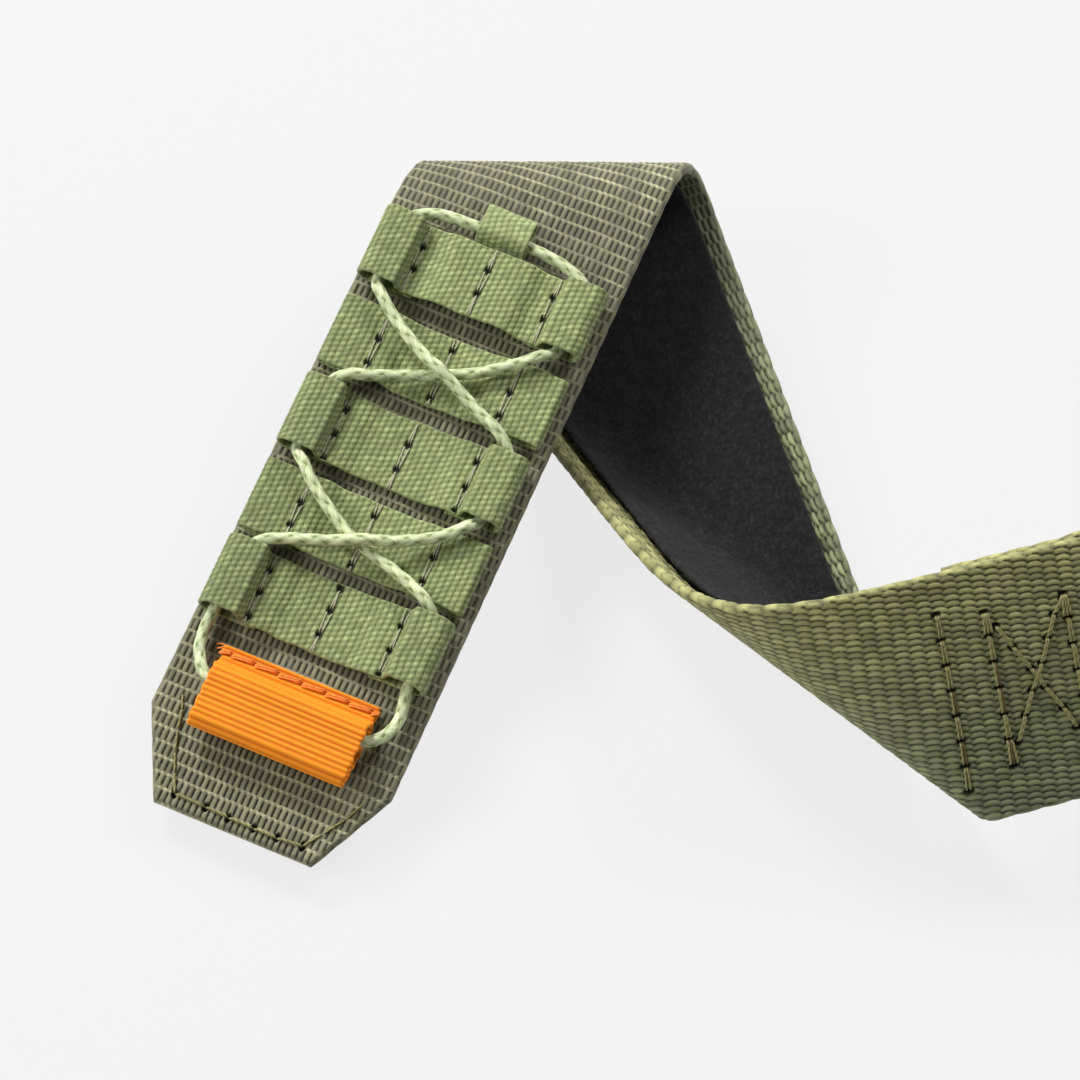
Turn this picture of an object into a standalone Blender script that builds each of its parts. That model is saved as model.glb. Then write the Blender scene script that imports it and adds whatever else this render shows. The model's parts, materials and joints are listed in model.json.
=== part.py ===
# The tail half of a woven nylon watch strap, lying curled on a table.
#
# The strap is laid out flat first. There s runs along the strap from its tip, t runs across it
# and h rises from the middle of the webbing towards the decorated face. Two bends then curl the
# flat strap. Their rulings, the straight lines of the bent surface, lie at a slant, so every
# piece that is sewn on bends with the webbing. The result is tilted to lie on z = 0.
#
# Units are metres and +Z is up.

import bpy
import bmesh
import math
from mathutils import Matrix, Vector

MM = 0.001
DEGREE = math.pi / 180.0

# Webbing
WEBBING_WIDTH = 24.0 * MM
WEBBING_THICKNESS = 1.2 * MM
STRAP_LENGTH = 172.5 * MM          # tip to spring bar axis
TIP_END_WIDTH = 15.7 * MM
TIP_CHAMFER_LENGTH = 8.7 * MM
FOLD_BACK_LENGTH = 16.1 * MM       # bar axis to the cut end under the strap
FOLD_BACK_TAPER = 5.3 * MM         # stretch where the loop closes up behind the bar
SEWN_GAP = 0.3 * MM                # between the faces of layers that are sewn together

# Curl of the strap: where each bend lies along the middle line, how long it is, how far it turns
TOP_FOLD_MIDDLE = 77.3 * MM
TOP_FOLD_LENGTH = 25.9 * MM
TOP_FOLD_ANGLE = 175.2 * DEGREE
FIRST_TURN_MIDDLE = 118.9 * MM
FIRST_TURN_LENGTH = 22.2 * MM
FIRST_TURN_ANGLE = 60.5 * DEGREE
SECOND_TURN_MIDDLE = 146.2 * MM
SECOND_TURN_LENGTH = 23.3 * MM
SECOND_TURN_ANGLE = 110.1 * DEGREE
TURN_SLANT_MIDDLE = 133.0 * MM
TURN_TAIL = 1.85 * MM               # the second turn is cut short where the strap is doubled
CURL_END = SECOND_TURN_MIDDLE + SECOND_TURN_LENGTH / 2 - TURN_TAIL
# How far a ruling runs along the strap from its right edge to its left one, at the bends' marks
FOLD_START_LEAN = -12.48 * MM
FOLD_END_LEAN = -6.0 * MM
TURN_START_LEAN = -40.08 * MM
TURN_MIDDLE_LEAN = -43.2 * MM
TURN_END_LEAN = -3.12 * MM
RULING_STEP = 0.5 * MM

# How the curled strap lies on the table
TAIL_RISE_ANGLE = 9.3 * DEGREE
TAIL_BANK_ANGLE = -2.1 * DEGREE
QUARTER_TURN = 90.0 * DEGREE

# Steps of the cloth grids
FLAT_ROW_STEP = 4.0 * MM
BEND_ROW_STEP = 1.2 * MM
COLUMN_STEP = 3.0 * MM
ROW_FADE_LENGTH = 9.0 * MM         # rows turn from square to the rulings' slant over this
SHORTEST_ROW = 1.0 * MM

# Loop lining and hook patch on the back
LINING_WIDTH = 20.0 * MM
LINING_THICKNESS = 0.7 * MM
LINING_END_GAP = 0.9 * MM          # to the webbing that is folded back
HOOK_PATCH_LENGTH = 29.0 * MM
HOOK_PATCH_THICKNESS = 1.0 * MM
HOOK_PATCH_INSET = 0.8 * MM

# Ribbon bands across the tail
BAND_PLACES = (58.4 * MM, 49.0 * MM, 39.8 * MM, 30.9 * MM, 22.2 * MM)  # from the tip
BAND_WIDTH = 7.4 * MM
BAND_HALF_SPAN = 11.4 * MM
BAND_SHIFT = 0.4 * MM              # the bands sit nearer to the left edge
RIBBON_THICKNESS = 0.5 * MM
RIBBON_GAP = 0.2 * MM
SEAM_OFFSET = 6.7 * MM             # middle of a band to its outer seam
SEAM_ALLOWANCE = 1.0 * MM          # ribbon under a seam, inside it
SEAM_HALF_WIDTH = 0.3 * MM
LOOP_SHOULDER = 0.7 * MM           # from the seam's edge to the loop's full height
MIDDLE_CROWN_OFFSET = 3.3 * MM
MIDDLE_CROWN_RISE = 0.15 * MM
EMPTY_LOOP_HEIGHT = 0.8 * MM       # between the loop's two ribbon layers, middle to middle
LACED_LOOP_HEIGHT = 2.4 * MM

# Cord tab at the top of the lacing
TAB_RIBBON_THICKNESS = 0.4 * MM
TAB_WIDTH = 4.9 * MM
TAB_REACH = 4.2 * MM               # past the top band
TAB_TUCK = 2.0 * MM                # under the top band
TAB_CORD_PLACE = 1.6 * MM          # the cord's middle past the band
TAB_CORD_HEIGHT = 1.45 * MM
TAB_CORD_CLEARANCE = 0.3 * MM
TAB_TUCK_GAP = 0.15 * MM

# Orange pull tab
PULL_TAB_WIDTH = 15.5 * MM
PULL_TAB_START = 7.2 * MM
PULL_TAB_END = 16.0 * MM
PULL_TAB_THICKNESS = 0.5 * MM
PULL_TAB_SEAM_INSET = 0.8 * MM
PULL_TAB_LIFT = 1.0 * MM
PULL_TAB_LOOP_HEIGHT = 2.6 * MM
PULL_TAB_CORD_START = 11.4 * MM    # stretch of the tab that lies flat under the cord
PULL_TAB_CORD_END = 13.1 * MM
PULL_TAB_RIB_COUNT = 14
PULL_TAB_RIB_DEPTH = 0.14 * MM

# Lacing cord
CORD_DIAMETER = 1.15 * MM
CORD_STEP = 1.8 * MM

# Quick release spring bar
BAR_TUBE_DIAMETER = 1.8 * MM
BAR_TUBE_WALL = 0.2 * MM
BAR_TUBE_LENGTH = 23.2 * MM
BAR_LIP_LENGTH = 0.3 * MM
BAR_RUNNING_GAP = 0.08 * MM
BAR_LOOP_CLEARANCE = 0.25 * MM
PIN_DIAMETER = 0.84 * MM
PIN_REACH = 1.4 * MM               # out of the tube's end at rest
PIN_TRAVEL = 1.4 * MM
PIN_TIP_CHAMFER = 0.12 * MM
PIN_COLLAR_LENGTH = 0.8 * MM
PIN_TAIL_DIAMETER = 1.0 * MM
SPRING_LENGTH = 7.0 * MM
SPRING_WIRE_DIAMETER = 0.18 * MM
SPRING_COIL_DIAMETER = 0.98 * MM
SPRING_CURLS = 8
SPRING_POINTS_PER_CURL = 9
KNOB_PLACE = 8.2 * MM              # middle of the bar to the knob
KNOB_STEM_DIAMETER = 0.6 * MM
KNOB_HEAD_DIAMETER = 1.5 * MM
KNOB_HEAD_START = 1.05 * MM        # from the bar's axis
KNOB_HEAD_END = 2.7 * MM
KNOB_EDGE_CHAMFER = 0.15 * MM
KNOB_SLOT_CLEARANCE = 0.15 * MM
KNOB_SWING_CLEARANCE = 1.15 * MM
ROUND_SIDES = 24
WELD_DISTANCE = 0.001 * MM
CUT_OVERRUN = 2.0 * MM

PARTS = bpy.data.collections.new("watch_strap_tail")
CUTTERS = bpy.data.collections.new("cutters")

HALF_WIDTH = WEBBING_WIDTH / 2
FACE = WEBBING_THICKNESS / 2


def clear_scene():
    for old in list(bpy.data.objects):
        bpy.data.objects.remove(old, do_unlink=True)
    for collection in (PARTS, CUTTERS):
        bpy.context.scene.collection.children.link(collection)


def material(name, color, roughness, metallic=0.0):
    made = bpy.data.materials.new(name)
    made.use_nodes = True
    shader = made.node_tree.nodes["Principled BSDF"]
    shader.inputs["Base Color"].default_value = (*color, 1.0)
    shader.inputs["Roughness"].default_value = roughness
    shader.inputs["Metallic"].default_value = metallic
    made.diffuse_color = (*color, 1.0)
    return made


def ease(share):
    return share * share * (3 - 2 * share)


def mix(first, second, share):
    return first + (second - first) * share


# Curl of the strap

def slant_at(place):
    """Slant of the ruling that crosses the middle line here: its run along for each unit across."""
    marks = (
        (TOP_FOLD_MIDDLE - TOP_FOLD_LENGTH / 2, FOLD_START_LEAN),
        (TOP_FOLD_MIDDLE + TOP_FOLD_LENGTH / 2, FOLD_END_LEAN),
        (FIRST_TURN_MIDDLE - FIRST_TURN_LENGTH / 2, TURN_START_LEAN),
        (TURN_SLANT_MIDDLE, TURN_MIDDLE_LEAN),
        (CURL_END, TURN_END_LEAN),
    )
    lean = TURN_END_LEAN
    if place <= marks[0][0]:
        lean = FOLD_START_LEAN
    for before, after in zip(marks, marks[1:]):
        if before[0] < place <= after[0]:
            share = (place - before[0]) / (after[0] - before[0])
            lean = mix(before[1], after[1], share)
    return lean / WEBBING_WIDTH


def turned_share(place, middle, length):
    """Part of a bend that is turned by this place: it starts and ends softly."""
    share = (place - middle) / length + 0.5
    share = min(max(share, 0.0), 1.0)
    return share - math.sin(2 * math.pi * share) / (2 * math.pi)


def turned_angle(place):
    place = min(place, CURL_END)
    angle = TOP_FOLD_ANGLE * turned_share(place, TOP_FOLD_MIDDLE, TOP_FOLD_LENGTH)
    angle += FIRST_TURN_ANGLE * turned_share(place, FIRST_TURN_MIDDLE, FIRST_TURN_LENGTH)
    angle += SECOND_TURN_ANGLE * turned_share(place, SECOND_TURN_MIDDLE, SECOND_TURN_LENGTH)
    return angle


def make_rulings():
    """Each ruling's place and slant, with the placing of the strap just past it."""
    rulings = []
    placing = Matrix.Identity(4)
    steps = math.ceil(CURL_END / RULING_STEP)
    for step in range(steps):
        start = step * RULING_STEP
        end = start + RULING_STEP
        place = (start + end) / 2
        slant = slant_at(place)
        angle = turned_angle(end) - turned_angle(start)
        if angle > 0:
            axis = Vector((slant, 1, 0)).normalized()
            pivot = Matrix.Translation(Vector((place, 0, 0)))
            turn = pivot @ Matrix.Rotation(angle, 4, axis) @ pivot.inverted()
            placing = placing @ turn
            rulings.append((place, slant, placing.copy()))
    return rulings


RULINGS = make_rulings()
ON_TABLE = (
    Matrix.Rotation(TAIL_BANK_ANGLE, 4, "Y")
    @ Matrix.Rotation(TAIL_RISE_ANGLE, 4, "X")
    @ Matrix.Rotation(QUARTER_TURN, 4, "Z")
)


def placing_at(s, t):
    """Placing that carries the flat strap at (s, t) to where it lies."""
    placing = Matrix.Identity(4)
    for place, slant, past in RULINGS:
        if place + slant * t <= s:
            placing = past
    return ON_TABLE @ placing


def strap_point(s, t, h):
    return placing_at(s, t) @ Vector((s, t, h))


# Building helpers

def add_object(name, mesh, look):
    made = bpy.data.objects.new(name, mesh)
    made.data.materials.append(look)
    PARTS.objects.link(made)
    return made


def cloth(name, rows, thickness, look):
    """A sheet through rows of points, given its thickness evenly on both sides."""
    mesh = bpy.data.meshes.new(name)
    grid = bmesh.new()
    made_rows = [[grid.verts.new(point) for point in row] for row in rows]
    for lower, upper in zip(made_rows, made_rows[1:]):
        for column in range(len(lower) - 1):
            corners = (lower[column], lower[column + 1], upper[column + 1], upper[column])
            grid.faces.new(corners)
    grid.to_mesh(mesh)
    grid.free()
    mesh.shade_smooth()
    made = add_object(name, mesh, look)
    shell = made.modifiers.new("thickness", "SOLIDIFY")
    shell.thickness = thickness
    shell.offset = 0.0
    shell.use_even_offset = True
    return made


def evenly(start, end, step):
    count = max(1, math.ceil((end - start - WELD_DISTANCE) / step))
    return [mix(start, end, index / count) for index in range(count + 1)]


def strap_places(start, end):
    """Places along the strap, close together where it bends and the same for every layer."""
    bend_start = TOP_FOLD_MIDDLE - TOP_FOLD_LENGTH / 2
    places = [TIP_CHAMFER_LENGTH]
    places += evenly(TIP_CHAMFER_LENGTH, bend_start, FLAT_ROW_STEP)[1:]
    places += evenly(bend_start, CURL_END, BEND_ROW_STEP)[1:]
    places += evenly(CURL_END, STRAP_LENGTH, FLAT_ROW_STEP)[1:]
    margin = BEND_ROW_STEP / 3
    inner = [place for place in places if start + margin < place < end - margin]
    return [start] + inner + [end]


def strap_row(place, square, half_width, h, cut_end=math.inf):
    """Ends of a row across the strap along its ruling.

    Rows are square at the two places in square, and stop where the strip is cut off square.
    """
    lead = min(abs(place - end) for end in square) / ROW_FADE_LENGTH
    if not square[0] < place < square[1]:
        lead = 0.0
    slant = slant_at(place) * ease(min(lead, 1.0))
    low, high = -half_width, half_width
    if slant < 0:
        low = max(low, (cut_end - place) / slant)
    elif place > cut_end:
        return None
    if high - low < SHORTEST_ROW:
        return None
    return [(place + slant * t, t, h) for t in (low, high)]


def ruled_rows(ends, columns):
    """Rows of points between the ends of each row."""
    rows = []
    for pair in ends:
        if pair is None:
            continue
        row = []
        for index in range(columns + 1):
            share = index / columns
            s, t, h = (mix(first, last, share) for first, last in zip(*pair))
            row.append(strap_point(s, t, h))
        rows.append(row)
    return rows


def column_count(half_width):
    return max(2, math.ceil(2 * half_width / COLUMN_STEP))


def half_width_at(s, half_width, end_half_width, chamfer_length, start):
    """Half the width of a strap-shaped sheet whose tip corners are cut off."""
    share = min((s - start) / chamfer_length, 1.0)
    return mix(end_half_width, half_width, share)


def across(half_width, step):
    count = max(2, math.ceil(2 * half_width / step))
    return [2 * index / count - 1 for index in range(count + 1)]


# Webbing and its back

def bar_loop_path():
    """Middle line of the webbing's loop round the bar, as (s, h)."""
    path = []
    radius = BAR_TUBE_DIAMETER / 2 + BAR_LOOP_CLEARANCE + WEBBING_THICKNESS / 2
    arc_steps = 8
    for index in range(1, arc_steps + 1):
        angle = math.pi * index / arc_steps
        s = STRAP_LENGTH + radius * math.sin(angle)
        h = -radius + radius * math.cos(angle)
        path.append((s, h))
    back_height = -WEBBING_THICKNESS - SEWN_GAP
    taper_steps = 5
    for index in range(1, taper_steps + 1):
        share = index / taper_steps
        s = STRAP_LENGTH - FOLD_BACK_TAPER * share
        path.append((s, mix(-2 * radius, back_height, ease(share))))
    return path


def make_webbing(look):
    """One strip from the tip out to the bar, round it and back to its cut end."""
    ends = []
    square = (TIP_CHAMFER_LENGTH, STRAP_LENGTH)
    for place in strap_places(0.0, STRAP_LENGTH):
        half = half_width_at(place, HALF_WIDTH, TIP_END_WIDTH / 2, TIP_CHAMFER_LENGTH, 0.0)
        ends.append(strap_row(place, square, half, 0.0))
    for s, h in bar_loop_path():
        ends.append([(s, -HALF_WIDTH, h), (s, HALF_WIDTH, h)])
    taper_end = STRAP_LENGTH - FOLD_BACK_TAPER
    cut_end = STRAP_LENGTH - FOLD_BACK_LENGTH
    height = -WEBBING_THICKNESS - SEWN_GAP
    for place in reversed(strap_places(cut_end, taper_end)[:-1]):
        ends.append(strap_row(place, (cut_end, taper_end), HALF_WIDTH, height))
    rows = ruled_rows(ends, column_count(HALF_WIDTH))
    return cloth("webbing", rows, WEBBING_THICKNESS, look)


def hook_patch_end():
    return HOOK_PATCH_INSET + HOOK_PATCH_LENGTH


def make_hook_patch(look):
    height = -FACE - SEWN_GAP - HOOK_PATCH_THICKNESS / 2
    start = HOOK_PATCH_INSET
    half_width = HALF_WIDTH - HOOK_PATCH_INSET
    end_half_width = TIP_END_WIDTH / 2 - HOOK_PATCH_INSET / 2
    shares = across(half_width, 2 * COLUMN_STEP)
    places = [start, TIP_CHAMFER_LENGTH]
    places += evenly(TIP_CHAMFER_LENGTH, hook_patch_end(), 2 * FLAT_ROW_STEP)[1:]
    rows = []
    for s in places:
        length = TIP_CHAMFER_LENGTH - start
        half = half_width_at(s, half_width, end_half_width, length, start)
        rows.append([strap_point(s, share * half, height) for share in shares])
    return cloth("hook_patch", rows, HOOK_PATCH_THICKNESS, look)


def make_lining(look):
    height = -FACE - SEWN_GAP - LINING_THICKNESS / 2
    start = hook_patch_end() + SEWN_GAP
    end = STRAP_LENGTH - FOLD_BACK_LENGTH - LINING_END_GAP
    half = LINING_WIDTH / 2
    square = (start, STRAP_LENGTH)
    ends = []
    for place in strap_places(start, CURL_END):
        ends.append(strap_row(place, square, half, height, end))
    rows = ruled_rows(ends, column_count(half))
    return cloth("loop_lining", rows, LINING_THICKNESS, look)


# Ribbon bands

def eased_line(marks, steps):
    """Points through (along, height) marks, level at each of them."""
    line = [marks[0]]
    for (start, low), (end, high) in zip(marks, marks[1:]):
        count = steps if abs(high - low) > WELD_DISTANCE else 1
        for index in range(1, count + 1):
            share = index / count
            line.append((mix(start, end, share), mix(low, high, ease(share))))
    return line


def band_half(loop_height, middle_height):
    """Half of a band from its middle outwards, as (t, height of the ribbon's middle)."""
    under = RIBBON_GAP + RIBBON_THICKNESS / 2
    seam = under + RIBBON_THICKNESS + RIBBON_GAP
    top = under + loop_height
    radius = loop_height / 2
    loop_end = BAND_HALF_SPAN - RIBBON_THICKNESS / 2 - radius
    seam_edge = SEAM_OFFSET + SEAM_HALF_WIDTH
    crown = middle_height + MIDDLE_CROWN_RISE
    marks = [
        (0.0, middle_height),
        (MIDDLE_CROWN_OFFSET, crown),
        (SEAM_OFFSET - SEAM_ALLOWANCE - RIBBON_GAP, seam),
        (seam_edge, seam),
        (seam_edge + LOOP_SHOULDER, top),
        (loop_end, top),
    ]
    line = eased_line(marks, 4)
    arc_steps = 6
    for index in range(1, arc_steps + 1):
        angle = math.pi * index / arc_steps
        t = loop_end + radius * math.sin(angle)
        line.append((t, under + radius + radius * math.cos(angle)))
    line.append((SEAM_OFFSET - SEAM_ALLOWANCE, under))
    return line


def make_band(index, look):
    laced = index % 2 == 0
    loop_height = LACED_LOOP_HEIGHT if laced else EMPTY_LOOP_HEIGHT
    middle_height = RIBBON_GAP + RIBBON_THICKNESS / 2
    if index == 0:
        middle_height += 2 * TAB_RIBBON_THICKNESS + 3 * TAB_TUCK_GAP
    half = band_half(loop_height, middle_height)
    line = [(-t, height) for t, height in reversed(half[1:])] + half
    start = BAND_PLACES[index] - BAND_WIDTH / 2
    rows = []
    for s in evenly(start, start + BAND_WIDTH, BAND_WIDTH / 2):
        rows.append([strap_point(s, BAND_SHIFT + t, FACE + height) for t, height in line])
    return cloth("ribbon_band_%d" % (index + 1), rows, RIBBON_THICKNESS, look)


# Tabs

def arc_line(middle, radius, start_angle, end_angle, steps):
    """Points of an arc in the tab's side view, as (s, height)."""
    line = []
    for index in range(steps + 1):
        angle = mix(start_angle, end_angle, index / steps)
        s = middle[0] + radius * math.cos(angle)
        line.append((s, middle[1] + radius * math.sin(angle)))
    return line


def make_cord_tab(look):
    """Ribbon tucked under the top band that folds over the cord."""
    low = TAB_TUCK_GAP + TAB_RIBBON_THICKNESS / 2
    tucked = low + TAB_RIBBON_THICKNESS + TAB_TUCK_GAP
    band_edge = BAND_PLACES[0] + BAND_WIDTH / 2
    start = band_edge - TAB_TUCK
    cord = (band_edge + TAB_CORD_PLACE, TAB_CORD_HEIGHT)
    wrap = CORD_DIAMETER / 2 + TAB_CORD_CLEARANCE + TAB_RIBBON_THICKNESS / 2
    top = cord[1] + wrap
    fold = (top - low) / 2
    fold_place = band_edge + TAB_REACH - TAB_RIBBON_THICKNESS / 2 - fold
    line = [(start, tucked), (band_edge, tucked)]
    line += arc_line(cord, wrap, math.pi, math.pi / 2, 6)
    line += arc_line((fold_place, low + fold), fold, math.pi / 2, -math.pi / 2, 8)
    line += [(cord[0], low), (start, low)]
    rows = []
    for t in evenly(-TAB_WIDTH / 2, TAB_WIDTH / 2, COLUMN_STEP):
        rows.append([strap_point(s, BAND_SHIFT + t, FACE + height) for s, height in line])
    return cloth("cord_tab", rows, TAB_RIBBON_THICKNESS, look)


def make_pull_tab(look):
    """Ribbed ribbon folded over the cord's ends, sewn down along its upper edge."""
    low = RIBBON_GAP + PULL_TAB_THICKNESS / 2
    high = low + PULL_TAB_LOOP_HEIGHT
    seam = low + PULL_TAB_THICKNESS + RIBBON_GAP
    radius = (PULL_TAB_LOOP_HEIGHT - PULL_TAB_LIFT) / 2
    fold = PULL_TAB_START + PULL_TAB_THICKNESS / 2 + radius
    seam_edge = PULL_TAB_END - 2 * PULL_TAB_SEAM_INSET
    marks = [(PULL_TAB_END, low), (PULL_TAB_CORD_START, low), (fold, low + PULL_TAB_LIFT)]
    line = eased_line(marks, 4)
    line += arc_line((fold, high - radius), radius, -math.pi / 2, -3 * math.pi / 2, 6)[1:]
    steps_per_rib = 4
    steps = PULL_TAB_RIB_COUNT * steps_per_rib
    for index in range(1, steps + 1):
        s = mix(fold, PULL_TAB_END, index / steps)
        share = (s - PULL_TAB_CORD_END) / (seam_edge - PULL_TAB_CORD_END)
        height = mix(high, seam, ease(min(max(share, 0.0), 1.0)))
        wave = math.cos(2 * math.pi * index / steps_per_rib) - 1
        line.append((s, height + PULL_TAB_RIB_DEPTH / 2 * wave))
    rows = []
    for t in (-PULL_TAB_WIDTH / 2, 0.0, PULL_TAB_WIDTH / 2):
        rows.append([strap_point(s, t, FACE + height) for s, height in line])
    return cloth("pull_tab", rows, PULL_TAB_THICKNESS, look)


# Lacing cord

# Route of the cord in millimetres as (s, t, height over the webbing's face), from the middle of
# the pull tab through the bands' loops and the cord tab and back to the pull tab.
CORD_ROUTE = (
    (12.2, 0.5, 1.75), (12.2, 4.0, 1.75), (12.1, 6.8, 1.75), (12.6, 8.4, 1.6), (14.2, 9.6, 1.3),
    (16.0, 10.1, 1.2), (18.2, 10.1, 1.5), (22.2, 9.8, 1.55), (25.4, 9.6, 1.55),
    (26.8, 7.8, 2.4), (28.6, 2.9, 2.75), (29.7, 0.3, 3.2), (30.8, -2.4, 2.8), (33.0, -6.1, 2.5),
    (34.9, -7.9, 2.5), (36.4, -8.8, 1.55), (39.8, -8.8, 1.55), (43.2, -8.7, 1.55),
    (44.8, -7.1, 2.4), (45.8, -4.9, 2.4), (47.2, -1.8, 2.8), (48.2, 0.3, 3.2),
    (49.1, 2.4, 2.8), (51.2, 5.9, 2.5), (53.2, 8.4, 2.45), (54.9, 9.6, 1.55),
    (58.4, 9.6, 1.55), (61.6, 9.5, 1.55),
    (63.4, 7.2, 1.3), (63.7, 3.4, 1.43), (63.7, 0.4, 1.45), (63.7, -2.4, 1.43),
    (63.3, -6.0, 1.3), (61.8, -8.6, 1.55), (58.4, -8.8, 1.55), (54.9, -8.7, 1.55),
    (53.4, -7.5, 2.45), (51.7, -5.7, 2.4), (49.7, -2.7, 1.9), (48.2, 0.3, 1.75),
    (47.2, 2.4, 1.85), (45.3, 6.2, 2.45), (44.6, 8.1, 2.45), (43.2, 9.5, 1.55),
    (39.8, 9.6, 1.55), (36.4, 9.6, 1.55),
    (34.9, 8.4, 2.5), (32.9, 6.2, 2.4), (30.6, 2.6, 1.9), (29.7, 0.3, 1.75), (28.1, -4.6, 2.2),
    (26.9, -7.3, 2.4), (25.4, -8.8, 1.55),
    (22.2, -9.0, 1.55), (18.2, -9.3, 1.5), (16.0, -9.7, 1.2), (14.2, -9.4, 1.3),
    (12.6, -8.3, 1.6), (12.1, -6.7, 1.75), (12.2, -4.0, 1.75), (12.2, -0.5, 1.75),
)


def smooth_point(before, start, end, after, share):
    """Point on a curve that runs smoothly through its route points."""
    square = share * share
    cube = square * share
    total = 2 * start
    total += (end - before) * share
    total += (2 * before - 5 * start + 4 * end - after) * square
    total += (3 * start - before - 3 * end + after) * cube
    return total / 2


def smooth_route(points, step):
    """Points at an even step along the smooth curve through the given ones."""
    fine = []
    parts = 12
    last = len(points) - 1
    for index in range(last):
        before = points[max(index - 1, 0)]
        after = points[min(index + 2, last)]
        for part in range(parts):
            share = part / parts
            point = smooth_point(before, points[index], points[index + 1], after, share)
            fine.append(point)
    fine.append(points[-1])
    lengths = [0.0]
    for first, second in zip(fine, fine[1:]):
        lengths.append(lengths[-1] + (second - first).length)
    count = round(lengths[-1] / step)
    route = []
    place = 0
    for index in range(count + 1):
        target = lengths[-1] * index / count
        while place < len(fine) - 2 and lengths[place + 1] < target:
            place += 1
        share = (target - lengths[place]) / (lengths[place + 1] - lengths[place])
        route.append(fine[place].lerp(fine[place + 1], min(share, 1.0)))
    return route, lengths[-1]


def tube(name, points, diameter, resolution, look):
    curve = bpy.data.curves.new(name, "CURVE")
    curve.dimensions = "3D"
    curve.bevel_depth = diameter / 2
    curve.bevel_resolution = resolution
    curve.use_fill_caps = True
    spline = curve.splines.new("POLY")
    spline.points.add(len(points) - 1)
    for target, point in zip(spline.points, points):
        target.co = (*point, 1.0)
    return add_object(name, curve, look)


def make_cord(look):
    points = [strap_point(s * MM, t * MM, FACE + height * MM) for s, t, height in CORD_ROUTE]
    route, length = smooth_route(points, CORD_STEP)
    print("cord points", len(route), "length mm", round(length / MM, 1))
    return tube("lacing_cord", route, CORD_DIAMETER, 2, look)


# Spring bar

def bar_frame():
    """Placing of the spring bar: X along the bar, Z away from the strap's outer face."""
    depth = -BAR_TUBE_DIAMETER / 2 - BAR_LOOP_CLEARANCE - WEBBING_THICKNESS / 2
    middle = strap_point(STRAP_LENGTH, 0.0, depth)
    left = strap_point(STRAP_LENGTH, HALF_WIDTH, depth)
    above = strap_point(STRAP_LENGTH, 0.0, 0.0)
    along = (left - middle).normalized()
    down = (middle - above).normalized()
    side = down.cross(along)
    frame = Matrix.Identity(4)
    for column, axis in enumerate((along, side, down)):
        for row in range(3):
            frame[row][column] = axis[row]
    frame.translation = middle
    return frame


def turned(name, profile, look):
    """A solid turned about X from (x, radius) points that run from one end to the other."""
    mesh = bpy.data.meshes.new(name)
    outline = bmesh.new()
    made = [outline.verts.new((x, 0.0, radius)) for x, radius in profile]
    for first, second in zip(made, made[1:]):
        outline.edges.new((first, second))
    if profile[0] == profile[-1]:
        outline.edges.new((made[-1], made[0]))
    outline.to_mesh(mesh)
    outline.free()
    made = add_object(name, mesh, look)
    screw = made.modifiers.new("turn", "SCREW")
    screw.axis = "X"
    screw.steps = ROUND_SIDES
    screw.render_steps = ROUND_SIDES
    screw.use_merge_vertices = True
    screw.merge_threshold = WELD_DISTANCE
    return made


def make_bar_tube(look):
    """Thin tube with its ends drawn in to a lip that keeps the pins in, slotted for the knob."""
    end = BAR_TUBE_LENGTH / 2
    outer = BAR_TUBE_DIAMETER / 2
    bore = outer - BAR_TUBE_WALL
    mouth = PIN_DIAMETER / 2 + BAR_RUNNING_GAP
    inner_end = end - BAR_LIP_LENGTH
    profile = (
        (-end, mouth), (-end, outer - BAR_TUBE_WALL / 2), (-end + BAR_TUBE_WALL / 2, outer),
        (end - BAR_TUBE_WALL / 2, outer), (end, outer - BAR_TUBE_WALL / 2), (end, mouth),
        (inner_end, mouth), (inner_end, bore), (-inner_end, bore), (-inner_end, mouth),
        (-end, mouth),
    )
    made = turned("bar_tube", profile[:-1], look)
    close_profile(made)
    slot = knob_slot()
    cut = made.modifiers.new("slot", "BOOLEAN")
    cut.operation = "DIFFERENCE"
    cut.object = slot
    return made


def close_profile(made):
    """Joins a turned profile's last point to its first, for a tube that is open inside."""
    outline = bmesh.new()
    outline.from_mesh(made.data)
    outline.verts.ensure_lookup_table()
    outline.edges.new((outline.verts[-1], outline.verts[0]))
    outline.to_mesh(made.data)
    outline.free()


def cutter_box(name, size, middle):
    bpy.ops.mesh.primitive_cube_add(size=1.0)
    made = bpy.context.object
    made.name = name
    made.data.transform(Matrix.Diagonal((*size, 1.0)))
    made.location = middle
    for collection in list(made.users_collection):
        collection.objects.unlink(made)
    CUTTERS.objects.link(made)
    made.hide_render = True
    made.display_type = "WIRE"
    return made


def knob_slot():
    """Slot in the tube that the knob's stem slides along."""
    width = KNOB_STEM_DIAMETER + 2 * KNOB_SLOT_CLEARANCE
    length = width + PIN_TRAVEL
    depth = BAR_TUBE_DIAMETER / 2 + CUT_OVERRUN
    middle = (KNOB_PLACE - PIN_TRAVEL / 2, 0.0, depth / 2)
    return cutter_box("knob_slot_cutter", (length, width, depth), middle)


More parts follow.
